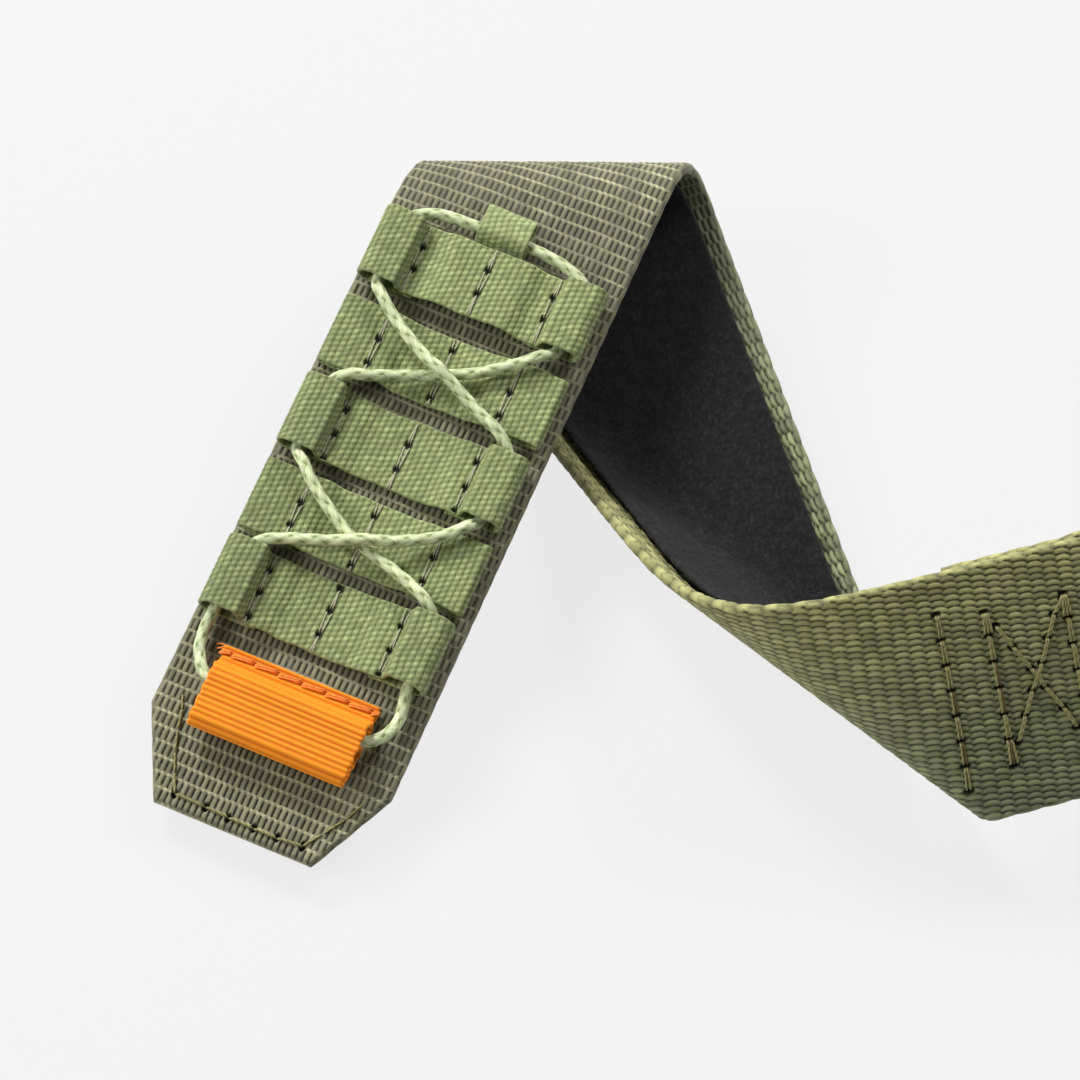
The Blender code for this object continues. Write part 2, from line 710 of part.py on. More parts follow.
def make_pin(name, side, look):
    """Pin with a collar that stops it inside the tube's lip and a tail that meets the spring."""
    tip = BAR_TUBE_LENGTH / 2 + PIN_REACH
    collar_start = BAR_TUBE_LENGTH / 2 - BAR_LIP_LENGTH - BAR_RUNNING_GAP
    collar_end = collar_start - PIN_COLLAR_LENGTH
    tail_end = SPRING_LENGTH / 2 + BAR_RUNNING_GAP
    radius = PIN_DIAMETER / 2
    collar = BAR_TUBE_DIAMETER / 2 - BAR_TUBE_WALL - BAR_RUNNING_GAP
    tail = PIN_TAIL_DIAMETER / 2
    profile = (
        (tip, 0.0), (tip, radius - PIN_TIP_CHAMFER), (tip - PIN_TIP_CHAMFER, radius),
        (collar_start, radius), (collar_start, collar), (collar_end, collar),
        (collar_end, tail), (tail_end, tail), (tail_end, 0.0),
    )
    outline = [(side * x, r) for x, r in profile]
    if side < 0:
        outline.reverse()
    return turned(name, outline, look)


def least_self_gap(points):
    """Least distance between the wire's turns, less the wire, measured on its points."""
    apart = SPRING_POINTS_PER_CURL // 2
    least = math.inf
    for index, first in enumerate(points):
        for second in points[index + apart + 1:]:
            least = min(least, (second - first).length)
    return least - SPRING_WIRE_DIAMETER


def make_spring(look):
    """Compression spring between the pins' tails, with straight ends along the wire."""
    span = SPRING_LENGTH - SPRING_WIRE_DIAMETER
    radius = (SPRING_COIL_DIAMETER - SPRING_WIRE_DIAMETER) / 2
    count = SPRING_CURLS * SPRING_POINTS_PER_CURL
    points = []
    for index in range(count + 1):
        angle = 2 * math.pi * index / SPRING_POINTS_PER_CURL
        x = span * (index / count - 0.5)
        points.append(Vector((x, radius * math.cos(angle), radius * math.sin(angle))))
    print("spring least gap to itself mm", round(least_self_gap(points) / MM, 2))
    return tube("bar_spring", points, SPRING_WIRE_DIAMETER, 1, look)


def make_knob(look):
    """Stem that stands on the pin's tail and passes the slot, with a thumb head outside."""
    base = PIN_TAIL_DIAMETER / 2 + BAR_RUNNING_GAP
    stem = KNOB_STEM_DIAMETER / 2
    head = KNOB_HEAD_DIAMETER / 2
    profile = (
        (KNOB_HEAD_END, 0.0), (KNOB_HEAD_END, head - KNOB_EDGE_CHAMFER),
        (KNOB_HEAD_END - KNOB_EDGE_CHAMFER, head), (KNOB_HEAD_START, head),
        (KNOB_HEAD_START, stem), (base, stem), (base, 0.0),
    )
    return turned("release_knob", profile, look)


def notch_webbing(webbing, frame):
    """Opens the webbing's loop at one edge so that the knob can slide and swing."""
    swing = KNOB_HEAD_DIAMETER + 2 * KNOB_SWING_CLEARANCE
    inner_end = KNOB_PLACE - PIN_TRAVEL - KNOB_HEAD_DIAMETER / 2 - KNOB_SLOT_CLEARANCE
    length = HALF_WIDTH + CUT_OVERRUN - inner_end
    depth = WEBBING_THICKNESS + 2 * CUT_OVERRUN
    top = BAR_TUBE_DIAMETER / 2 - BAR_TUBE_WALL
    cutter = cutter_box("knob_notch_cutter", (length, swing, depth), (0.0, 0.0, 0.0))
    middle = Vector((inner_end + length / 2, 0.0, top + depth / 2))
    cutter.matrix_world = frame @ Matrix.Translation(middle)
    cut = webbing.modifiers.new("notch", "BOOLEAN")
    cut.operation = "DIFFERENCE"
    cut.object = cutter


def make_spring_bar(looks):
    frame = bar_frame()
    holder = bpy.data.objects.new("spring_bar_axis", None)
    PARTS.objects.link(holder)
    holder.matrix_world = frame
    steel = looks["steel"]
    pieces = [make_bar_tube(steel), make_pin("plain_pin", -1, steel)]
    pieces.append(make_pin("release_pin", 1, steel))
    pieces.append(make_spring(looks["spring"]))
    knob = make_knob(looks["knob"])
    knob.location = (KNOB_PLACE, 0.0, 0.0)
    knob.rotation_euler = (0.0, -QUARTER_TURN, 0.0)
    pieces.append(knob)
    for piece in pieces + [bpy.data.objects["knob_slot_cutter"]]:
        piece.parent = holder
    return holder, frame


def stand_on_origin(movers):
    """Shifts everything so that the strap stands on z = 0 over the origin."""
    bpy.context.view_layer.update()
    graph = bpy.context.evaluated_depsgraph_get()
    low = Vector((math.inf, math.inf, math.inf))
    high = -low
    for made in PARTS.objects:
        if made.type == "EMPTY":
            continue
        body = made.evaluated_get(graph)
        mesh = body.to_mesh()
        for vertex in mesh.vertices:
            point = body.matrix_world @ vertex.co
            for axis in range(3):
                low[axis] = min(low[axis], point[axis])
                high[axis] = max(high[axis], point[axis])
        body.to_mesh_clear()
    shift = Vector((-(low.x + high.x) / 2, -(low.y + high.y) / 2, -low.z))
    for made in movers:
        made.matrix_world = Matrix.Translation(shift) @ made.matrix_world
    return shift


def main():
    clear_scene()
    looks = {
        "webbing": material("olive_webbing", (0.115, 0.118, 0.062), 0.85),
        "lining": material("black_loop", (0.012, 0.012, 0.014), 0.95),
        "hook": material("black_hook", (0.015, 0.015, 0.017), 0.6),
        "ribbon": material("green_ribbon", (0.22, 0.31, 0.10), 0.8),
        "orange": material("orange_ribbon", (0.95, 0.26, 0.02), 0.6),
        "cord": material("pale_green_cord", (0.46, 0.60, 0.32), 0.6),
        "steel": material("steel", (0.62, 0.62, 0.64), 0.3, 1.0),
        "spring": material("spring_steel", (0.5, 0.5, 0.52), 0.35, 1.0),
        "knob": material("knob_steel", (0.55, 0.55, 0.57), 0.35, 1.0),
    }
    webbing = make_webbing(looks["webbing"])
    make_lining(looks["lining"])
    make_hook_patch(looks["hook"])
    for index in range(len(BAND_PLACES)):
        make_band(index, looks["ribbon"])
    make_cord_tab(looks["ribbon"])
    make_pull_tab(looks["orange"])
    make_cord(looks["cord"])
    holder, frame = make_spring_bar(looks)
    notch_webbing(webbing, frame)
    movers = [made for made in PARTS.objects if made.parent is None]
    movers += [made for made in CUTTERS.objects if made.parent is None]
    shift = stand_on_origin(movers)
    bpy.context.view_layer.update()
    print("shift", tuple(round(value, 6) for value in shift))
    for row in holder.matrix_world:
        print("bar frame", tuple(round(value, 6) for value in row))


main()
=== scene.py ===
# The tail half of a woven nylon watch strap, curled on a pale table.
#
# The strap is described laid out flat, in millimetres: s runs along it from its tip, t across it
# and h up from the middle of the webbing. Three bends with slanted rulings curl the flat strap,
# and every sewn piece bends with it. The result is in metres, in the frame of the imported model.

import json
import math

import bpy
import numpy as np
from mathutils import Matrix, Vector


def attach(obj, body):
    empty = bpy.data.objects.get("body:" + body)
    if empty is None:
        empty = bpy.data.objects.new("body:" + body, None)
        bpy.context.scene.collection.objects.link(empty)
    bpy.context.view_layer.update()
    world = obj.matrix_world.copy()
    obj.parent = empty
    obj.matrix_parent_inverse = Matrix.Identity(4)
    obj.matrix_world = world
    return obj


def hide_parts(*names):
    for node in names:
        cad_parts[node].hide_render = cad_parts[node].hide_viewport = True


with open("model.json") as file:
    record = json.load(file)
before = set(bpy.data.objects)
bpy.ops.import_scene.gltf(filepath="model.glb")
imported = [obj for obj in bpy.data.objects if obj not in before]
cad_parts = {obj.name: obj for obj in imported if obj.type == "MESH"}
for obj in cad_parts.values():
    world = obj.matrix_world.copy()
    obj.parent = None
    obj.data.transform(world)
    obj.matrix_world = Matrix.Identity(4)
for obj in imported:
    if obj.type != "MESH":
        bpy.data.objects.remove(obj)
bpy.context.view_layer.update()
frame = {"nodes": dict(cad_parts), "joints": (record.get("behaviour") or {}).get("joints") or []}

MM = 0.001
DEGREE = math.pi / 180.0

# Webbing
HALF_WIDTH = 12.0
FACE = 0.6                  # half the webbing's thickness
STRAP_LENGTH = 172.5
TIP_HALF_WIDTH = 7.85
TIP_CHAMFER = 8.7
BAR_LOOP_RADIUS = 1.75
FOLD_BACK_TAPER = 5.3
FOLD_BACK_LENGTH = 16.1
FOLD_BACK_HEIGHT = -1.5
NOTCH_ANGLE = 113 * DEGREE  # of the bar loop where the knob's notch begins
NOTCH_PAST_LOOP = 2.1
NOTCH_INNER = 5.9
NOTCH_RAMP = 0.2

# Weaves
COLUMN_PITCH = 1.366        # of the webbing along the strap
RIB_PITCH = 0.595           # of the webbing across the strap
WEAVE_CHANGE = 80.0         # where the webbing's look starts to change, past the top fold
WEAVE_CHANGE_RUN = 26.0
BANDS_MIDDLE = 40.0
ROW_PITCH = 0.602           # of the ribbon's rows
FLOAT_PITCH = 0.62          # of the ribbon's floats in a row

# Curl
BENDS = (                   # middle, length, angle
    (77.3, 25.9, 175.2 * DEGREE),
    (118.9, 22.2, 60.5 * DEGREE),
    (146.2, 23.3, 110.1 * DEGREE),
)
CURL_END = 156.0
SLANT_PLACES = (64.35, 90.25, 107.8, 133.0, 156.0)
SLANTS = (-0.52, -0.25, -1.67, -1.80, -0.13)
RULING_STEP = 0.1
RULINGS_FROM = -40.0        # the search for a point's ruling
RULINGS_TO = 220.0
RULING_HALVINGS = 22
TAIL_RISE = 9.3 * DEGREE
TAIL_BANK = -2.1 * DEGREE

# Lining and hook patch
LINING_ENDS = (30.1, 155.5)
LINING_HEIGHT = -1.25
LINING_HALF_WIDTH = 10.0
LINING_THICKNESS = 0.7
PATCH_ENDS = (0.8, 29.8)
PATCH_HEIGHT = -1.15
PATCH_HALF_WIDTH = 11.2
PATCH_TIP_HALF_WIDTH = 7.45
PATCH_THICKNESS = 0.5
HOOK_ROWS = (1.9, 29.2, 1.05)
HOOK_PITCH = 0.95
HOOK_MARGIN = 0.5
HOOK_ROOT = -1.38
HOOK_RISE = 0.42
HOOK_LEAN = 0.34

# Bands
BAND_PLACES = (58.4, 49.0, 39.8, 30.9, 22.2)
BAND_WIDTH = 7.4
BAND_TRIM = 0.04
BAND_HALF_SPAN = 11.4
BAND_SHIFT = 0.4
RIBBON = 0.5
RIBBON_GAP = 0.2
SEAM_OFFSET = 6.7
SEAM_ALLOWANCE = 1.0
SEAM_HALF_WIDTH = 0.3
SHOULDER = 0.7
LACED_HEIGHT = 2.4
EMPTY_HEIGHT = 0.8
FIRST_BAND_LIFT = 1.25      # over the cord tab's tucked end
MIDDLE_REACH = 3.3
MIDDLE_RISE = 0.15

# Cord and its tab
CORD_RADIUS = 1.15 / 2
CORD_GAP = 0.3
CORD_STEP = 0.11
BRAID_PITCH = 6.4
BRAID_DENT = 0.14
STRANDS = 3
YARNS = 4
CORD_TAB_RIBBON = 0.4
CORD_TAB_GAP = 0.15
CORD_TAB_HALF_WIDTH = 2.45
CORD_TAB_TUCK = 2.0
CORD_TAB_REACH = 4.2
CORD_TAB_CORD = (1.6, 1.45)  # the cord's place past the first band, and its height
CORD_TAB_FLOAT = 0.55

# Pull tab
PULL_START = 7.2
PULL_END = 16.0
PULL_RIBBON = 0.5
PULL_HEIGHT = 2.6
PULL_LIFT = 1.0             # of the lower ply at the fold
PULL_LIFT_FROM = 11.4
PULL_SLOPE_FROM = 13.1      # where the upper ply starts down to the seam
PULL_SEAM = 1.6
PULL_HALF_WIDTH = 7.75
PULL_RIBS = 14
PULL_SEAM_HOLES = (6.9, 2.35, 7)

# Thread
THREAD_TWIST = 1.4
THREAD_DENT = 0.014
THREAD_SIDES = 8


def ease(share):
    return share * share * (3 - 2 * share)


# Curl of the strap

def turn_matrix(axis, angle):
    return np.array(Matrix.Rotation(angle, 3, Vector(axis)))


def turned(places):
    """How far the strap has turned up to each place along it."""
    places = np.minimum(places, CURL_END)
    angle = np.zeros_like(places)
    for middle, length, total in BENDS:
        share = np.clip((places - middle) / length + 0.5, 0, 1)
        angle += total * (share - np.sin(2 * np.pi * share) / (2 * np.pi))
    return angle


def slant_at(places):
    """How far a ruling runs along the strap for each step across it."""
    return np.interp(places, SLANT_PLACES, SLANTS)


def make_placings():
    """A turn and a move for each ruling, which carry flat points on it to the curled strap."""
    count = math.ceil(CURL_END / RULING_STEP)
    angles = turned(np.arange(count + 1) * RULING_STEP)
    turn, move = np.eye(3), np.zeros(3)
    turns, moves = [turn], [move]
    for index in range(count):
        place = (index + 0.5) * RULING_STEP
        angle = angles[index + 1] - angles[index]
        if angle > 0:
            bend = turn_matrix((float(slant_at(place)), 1, 0), angle)
            pivot = np.array((place, 0, 0))
            move = move + turn @ (pivot - bend @ pivot)
            turn = turn @ bend
        turns.append(turn)
        moves.append(move)
    return np.array(turns), np.array(moves)


TURNS, MOVES = make_placings()
ON_TABLE = (
    turn_matrix((0, 1, 0), TAIL_BANK)
    @ turn_matrix((1, 0, 0), TAIL_RISE)
    @ turn_matrix((0, 0, 1), 90 * DEGREE)
)


def curl(flat):
    """Carries flat points (..., 3) to where the curled strap has them, before the table's shift."""
    s, t = flat[..., 0], flat[..., 1]
    low = np.full(s.shape, RULINGS_FROM)
    high = np.full(s.shape, RULINGS_TO)
    for _ in range(RULING_HALVINGS):
        middle = (low + high) / 2
        before = middle + slant_at(middle) * t < s
        low = np.where(before, middle, low)
        high = np.where(before, high, middle)
    step = np.clip((low + high) / 2, 0, CURL_END) / RULING_STEP
    index = np.minimum(step.astype(int), len(TURNS) - 2)
    share = (step - index)[..., None]
    first = np.einsum("...ij,...j->...i", TURNS[index], flat) + MOVES[index]
    second = np.einsum("...ij,...j->...i", TURNS[index + 1], flat) + MOVES[index + 1]
    return (first + (second - first) * share) @ ON_TABLE.T


def table_shift():
    """The move that brings the curled strap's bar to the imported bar."""
    turn = next(joint for joint in frame["joints"] if joint["name"] == "bar_turn")
    bar = curl(np.array((STRAP_LENGTH, 0.0, -BAR_LOOP_RADIUS)))
    return np.array(turn["pos_m"]) - bar * MM


SHIFT = table_shift()


def lay(flat):
    """Flat points in millimetres to places in metres."""
    return curl(np.asarray(flat, float)) * MM + SHIFT


# Meshes

def add_object(name, data):
    made = bpy.data.objects.new(name, data)
    bpy.context.scene.collection.objects.link(made)
    return made


def finish_mesh(name, points, faces, uv, layers, look, nodes=()):
    mesh = bpy.data.meshes.new(name)
    mesh.vertices.add(len(points))
    mesh.vertices.foreach_set("co", points.astype(np.float32).ravel())
    mesh.loops.add(faces.size)
    mesh.loops.foreach_set("vertex_index", faces.astype(np.int32).ravel())
    mesh.polygons.add(len(faces))
    starts = np.arange(len(faces), dtype=np.int32) * faces.shape[1]
    mesh.polygons.foreach_set("loop_start", starts)
    mesh.update(calc_edges=True)
    coordinates = mesh.uv_layers.new(name="UVMap")
    coordinates.data.foreach_set("uv", uv[faces.ravel()].astype(np.float32).ravel())
    for key, values in layers.items():
        layer = mesh.attributes.new(key, "FLOAT", "POINT")
        layer.data.foreach_set("value", values.astype(np.float32).ravel())
    mesh.shade_smooth()
    mesh.materials.append(LOOKS[look])
    made = add_object(name, mesh)
    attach(made, "strap")
    if nodes:
        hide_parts(*nodes)


def ring_faces(rows, columns):
    """Quads between neighbouring rings of points."""
    i, j = np.meshgrid(np.arange(rows - 1), np.arange(columns), indexing="ij")
    k = (j + 1) % columns
    low, high = i * columns, (i + 1) * columns
    return np.stack([low + j, low + k, high + k, high + j], -1).reshape(-1, 4)


def outward(points, faces):
    """Turns the faces over when they enclose their volume from the wrong side."""
    centre = points.mean(0)
    a, b, c, d = (points[faces[:, k]] - centre for k in range(4))
    volume = np.einsum("ij,ij->i", a, np.cross(b, c)).sum()
    volume += np.einsum("ij,ij->i", a, np.cross(c, d)).sum()
    return faces if volume > 0 else faces[:, ::-1]


def path_lengths(path):
    """Length along a path at each of its points."""
    steps = np.linalg.norm(np.diff(path, axis=0), axis=1)
    return np.concatenate([[0], np.cumsum(steps)])


def resample(path, step):
    lengths = path_lengths(path)
    count = max(2, int(round(lengths[-1] / step)))
    marks = np.linspace(0, lengths[-1], count + 1)
    return np.stack([np.interp(marks, lengths, values) for values in path.T], -1), marks


def closing(lengths, run):
    """Share of its full section that a piece has along its length: both ends close roundly."""
    share = np.clip(np.minimum(lengths, lengths[-1] - lengths) / run, 0, 1)
    return np.sqrt(1 - (1 - share) ** 2) * 0.98 + 0.02


def at(value):
    """A strip's side that stays at one place."""
    return lambda p: np.full_like(p, value)


def strip(name, path, low, high, thickness, outer, inner, relief, along, look, nodes,
          step, edge, end_round=0.3, depth=0.25):
    """A woven strip with two faces and rounded edges.

    path is the side view of its middle, (a, h); low and high give its sides at arc length p;
    outer and inner are shares across the two faces; relief gives a dent and a tone at (p, w) for
    the kind of face: 1 for the outer one, -1 for the inner one and 0 for the edges.
    """
    line, marks = resample(np.asarray(path, float), step)
    run = np.gradient(line, axis=0)
    run /= np.linalg.norm(run, axis=1)[:, None]
    normal = np.stack([-run[:, 1], run[:, 0]], -1)
    half = thickness / 2
    left, right = low(marks), high(marks)
    angles = np.linspace(np.pi / 2, -np.pi / 2, 7)[1:-1]

    def across(share):
        return left + edge + (right - left - 2 * edge) * share

    lines = [(across(share), half, 1) for share in outer]
    lines += [(right - edge + edge * math.cos(a), half * math.sin(a), 0) for a in angles]
    lines += [(across(share), -half, -1) for share in inner[::-1]]
    lines += [(left + edge - edge * math.cos(a), half * math.sin(a), 0) for a in -angles]
    w = np.stack([line_w for line_w, _, _ in lines], -1)
    o = np.broadcast_to([offset for _, offset, _ in lines], w.shape)
    kind = np.array([line_kind for _, _, line_kind in lines])[None, :]
    p = np.repeat(marks[:, None], w.shape[1], 1)
    dent, tone = relief(p, w, kind)
    deepest = np.abs(o) * np.where(kind == 1, 1.7, 0.9)
    o = (o - np.sign(o) * np.minimum(dent, deepest)) * closing(marks, end_round)[:, None]
    a = line[:, :1] + normal[:, :1] * o
    h = line[:, 1:] + normal[:, 1:] * o
    points = lay(np.stack([a, w, h] if along == "s" else [w, a, h], -1)).reshape(-1, 3)
    faces = outward(points, ring_faces(*w.shape))
    uv = np.stack([p, w], -1).reshape(-1, 2)
    layers = {"relief": np.clip(1 - dent / depth, 0, 1), "tone": tone}
    finish_mesh(name, points, faces, uv, layers, look, nodes)


def rope_parts(route, radius, sides, relief, taper):
    """Points, faces, UV and layers of a round cord along a dense route of places in metres."""
    run = np.gradient(route, axis=0)
    run /= np.linalg.norm(run, axis=1)[:, None]
    side = np.zeros_like(route)
    start = np.cross(run[0], (0.0, 0.0, 1.0) if abs(run[0][2]) < 0.9 else (1.0, 0.0, 0.0))
    side[0] = start / np.linalg.norm(start)
    for index in range(1, len(route)):
        turned_side = side[index - 1] - run[index] * np.dot(side[index - 1], run[index])
        side[index] = turned_side / np.linalg.norm(turned_side)
    up = np.cross(run, side)
    lengths = path_lengths(route) / MM
    z = np.repeat(lengths[:, None], sides, 1)
    theta = np.repeat(np.linspace(0, 2 * np.pi, sides, endpoint=False)[None], len(route), 0)
    dent, tone, depth = relief(z, theta)
    reach = (radius - dent) * closing(lengths, taper)[:, None] * MM
    points = (route[:, None] + side[:, None] * (np.cos(theta) * reach)[..., None]
              + up[:, None] * (np.sin(theta) * reach)[..., None]).reshape(-1, 3)
    faces = outward(points, ring_faces(len(route), sides))
    uv = np.stack([z, theta * radius], -1).reshape(-1, 2)
    return points, faces, uv, {"relief": (1 - dent / depth).ravel(), "tone": tone.ravel()}


def join_parts(name, parts, look, nodes=()):
    """One object from several parts, each given as points, faces, UV and layers."""
    offset = 0
    faces = []
    for part in parts:
        faces.append(part[1] + offset)
        offset += len(part[0])
    layers = {key: np.concatenate([part[3][key] for part in parts]) for key in parts[0][3]}
    finish_mesh(name, np.concatenate([part[0] for part in parts]), np.concatenate(faces),
                np.concatenate([part[2] for part in parts]), layers, look, nodes)


# Noise and weaves

def hashed(x, y, seed):
    """Repeatable random numbers from 0 to 1 for whole-number pairs."""
    n = (x.astype(np.int64) * 374761393 + y.astype(np.int64) * 668265263 + seed * 974634777)
    n = (n ^ (n >> 13)) & 0x7FFFFFFF
    n = (n * 1274126177) & 0x7FFFFFFF
    n = n ^ (n >> 16)
    return (n & 0xFFFFFF) / float(0xFFFFFF)


def noise(x, y, seed):
    i, j = np.floor(x), np.floor(y)
    u, v = ease(x - i), ease(y - j)
    a, b = hashed(i, j, seed), hashed(i + 1, j, seed)
    c, d = hashed(i, j + 1, seed), hashed(i + 1, j + 1, seed)
    return (a * (1 - u) + b * u) * (1 - v) + (c * (1 - u) + d * u) * v


def dome(value):
    return np.sqrt(np.clip(1 - value * value, 0, 1))


def past_fold(p):
    """0 on the tail, 1 well past the top fold, where the webbing's weave lies closer."""
    return np.clip((p - WEAVE_CHANGE) / WEAVE_CHANGE_RUN, 0, 1)


def webbing_weave(p, w):
    """Height, 0 to 1, and tone of the webbing's floats: columns of ribs, each half a rib off.

    On the tail dark slits part the ribs and pale weft shows between the columns, as a line or as
    knots; past the fold the ribs are full ovals that lean a little.
    """
    full = past_fold(p)
    knots = np.clip(np.abs(p - BANDS_MIDDLE) / 12 - 1.6, 0.15, 1) * (1 - full)
    p = p + 0.16 * (noise(w / 4, p / 8, 3) - 0.5)
    best = np.zeros_like(p)
    tone = np.full_like(p, 0.8)
    base = np.floor(p / COLUMN_PITCH)
    for shift in (-1, 0, 1):
        column = base + shift
        away = p - (column + 0.5) * COLUMN_PITCH
        lane = w / RIB_PITCH + 0.5 * np.mod(column, 2) + 0.16 * (noise(p / 6, w / 6, 4) - 0.5)
        lane = lane + full * (0.5 * away ** 2 + 0.15 * away)
        rib = np.round(lane)
        wobble = hashed(column, rib, 11)
        away = away - 0.12 * (wobble - 0.5)
        reach = np.clip(np.abs(away) / (COLUMN_PITCH * (0.54 + 0.06 * full)), 0, 1)
        breadth = (0.86 + 0.10 * full + 0.04 * (wobble - 0.5)) * (1 - 0.5 * full * reach ** 2)
        across = (lane - rib) * 2 / breadth
        bump = dome(across) ** (0.6 + 0.1 * full) * dome(reach ** (2.6 - 0.6 * full))
        bump *= 0.82 + 0.18 * wobble
        higher = bump > best
        best = np.where(higher, bump, best)
        # Painted highlight: a bright spot near one end of each rib, mostly where the weft shows as
        # knots.
        end = np.exp(-((away / COLUMN_PITCH - 0.38) / 0.10) ** 2) * dome(across)
        own = 0.80 + 0.38 * hashed(column, rib, 5) + 0.75 * end * knots * wobble
        tone = np.where(higher, own, tone)
    border = np.round(p / COLUMN_PITCH)
    edge = np.abs(p / COLUMN_PITCH - border) * COLUMN_PITCH
    lane = w / RIB_PITCH + 0.5 * np.mod(border, 2) + 0.25
    knuckle = 0.5 + 0.5 * np.cos(2 * np.pi * lane)
    showing = noise(w / 1.7, border * 0.7, 7)
    weft = (0.66 + 0.2 * showing + 0.2 * knuckle * knots) * dome(np.clip(edge / 0.17, 0, 1))
    weft = weft * (1 - 0.8 * full)
    bright = 1.45 + 0.7 * showing + 0.5 * knuckle * knots
    tone = np.where(weft > best, bright * (1 - full) + 0.7 * full, tone)
    return np.maximum(best, weft), tone


def pits(p, w, holes, radius):
    """How deep the needle holes are at each point, 0 to 1."""
    depth = np.zeros_like(p)
    ragged = 0.8 + 0.4 * noise(p / 0.25, w / 0.25, 9)
    for hole_p, hole_w in holes:
        near = np.hypot((p - hole_p) / radius[0], (w - hole_w) / radius[1]) * ragged
        depth = np.maximum(depth, np.clip(1.3 - near, 0, 1))
    return np.clip(depth * 1.4, 0, 1)


def selvedge(p):
    """Lobes of the weft's turns along the webbing's edges, one for every two columns."""
    return np.abs(np.sin(np.pi * p / (2 * COLUMN_PITCH))) ** 0.7


def webbing_relief(p, w, kind):
    height, tone = webbing_weave(p, w)
    lobe = selvedge(p)
    past = past_fold(p)
    dent = np.where(kind == 0, 0.05 * (1 - lobe) + 0.13 * (1 - height), 0.23 * (1 - height))
    # Painted light: past the fold the webbing lightens towards its high side. Painted shade darkens
    # the tail at the start of the top fold, and a painted lift brightens the tip.
    tone = tone * (1 + 0.016 * past * w)
    tone = tone * (1 - 0.17 * np.exp(-((p - 66) / 10) ** 2)) * (1 + 0.06 * np.exp(-(p / 14) ** 2))
    beads = hashed(np.floor(p / COLUMN_PITCH), np.floor(w / RIB_PITCH), 12)
    tone = np.where(kind == -1, tone * (0.75 + 0.8 * beads * past), tone)
    rim = 0.7 + (0.15 + 0.35 * past) * lobe + 0.35 * beads
    tone = np.where(kind == 0, rim * (0.65 + 0.35 * tone), tone)
    # Painted shade in the needle holes: they darken as well as dent.
    hole = pits(p, w, WEBBING_HOLES, (0.40, 0.26)) * (kind == 1)
    dent = np.maximum(dent, 0.75 * hole)
    return dent, tone * (1 - 0.75 * hole)


def ribbon_weave(a, w):
    """Plain weave: rows of short light floats that lie across the ribbon, with dark gaps."""
    a = a + 0.20 * (noise(w / 1.6, a / 4, 23) - 0.5)
    w = w + 0.24 * (noise(a / 1.6, w / 4, 24) - 0.5)
    best = np.zeros_like(a)
    tone = np.full_like(a, 0.82)
    base = np.round(a / ROW_PITCH)
    for shift in (-1, 0, 1):
        row = base + shift
        off = a - row * ROW_PITCH
        lane = (w + 0.06 * off) / FLOAT_PITCH + 0.5 * np.mod(row, 2)
        column = np.round(lane)
        wobble = hashed(column, row, 21)
        side = (lane - column) * FLOAT_PITCH
        along = side / (0.29 + 0.08 * (wobble - 0.5))
        across = np.clip(np.abs(off + 0.25 * side) / 0.265, 0, 1)
        height = dome(along) * dome(across) ** 0.8 * (0.80 + 0.20 * wobble)
        higher = height > best
        best = np.where(higher, height, best)
        tone = np.where(higher, 0.82 + 0.36 * hashed(column, row, 22), tone)
    off = a - base * ROW_PITCH
    lane = (w + 0.06 * off) / FLOAT_PITCH + 0.5 * np.mod(base, 2)
    side = (lane - np.floor(lane) - 0.5) * FLOAT_PITCH
    cross = 0.62 * dome(side / 0.18) * dome(off / 0.30)
    tone = np.where(cross > best, 0.9, tone)
    return np.maximum(best, cross), tone


# Looks

def new_look(name):
    """A new material, its node tree and its shader."""
    made = bpy.data.materials.new(name)
    made.use_nodes = True
    return made, made.node_tree, made.node_tree.nodes["Principled BSDF"]


def set_inputs(node, values):
    for key, value in values.items():
        node.inputs[key].default_value = value


def add_node(tree, kind, values, links):
    """A shader node with its inputs' values and the sockets that feed its other inputs."""
    made = tree.nodes.new("ShaderNode" + kind)
    set_inputs(made, values)
    for key, socket in links.items():
        tree.links.new(socket, made.inputs[key])
    return made


def attribute(tree, name):
    node = tree.nodes.new("ShaderNodeAttribute")
    node.attribute_name = name
    return node.outputs["Fac"]


def combine(tree, operation, first, second):
    """A socket with the result of a math operation on two others."""
    node = add_node(tree, "Math", {}, {0: first, 1: second})
    node.operation = operation
    return node.outputs[0]


def map_range(tree, value, source, target):
    values = {"From Min": source[0], "From Max": source[1],
              "To Min": target[0], "To Max": target[1]}
    return add_node(tree, "MapRange", values, {"Value": value}).outputs[0]


def mix_colors(tree, blend, factor, first, second):
    """Two colours or sockets, mixed by a factor."""
    mix = tree.nodes.new("ShaderNodeMix")
    mix.data_type = "RGBA"
    mix.blend_type = blend
    tree.links.new(factor, mix.inputs["Factor"])
    for key, color in (("A", first), ("B", second)):
        if isinstance(color, tuple):
            mix.inputs[key].default_value = (*color, 1)
        else:
            tree.links.new(color, mix.inputs[key])
    return mix.outputs["Result"]


def noise_texture(tree, vector, scale, detail):
    return add_node(tree, "TexNoise", {"Scale": scale, "Detail": detail},
                    {"Vector": vector}).outputs["Fac"]


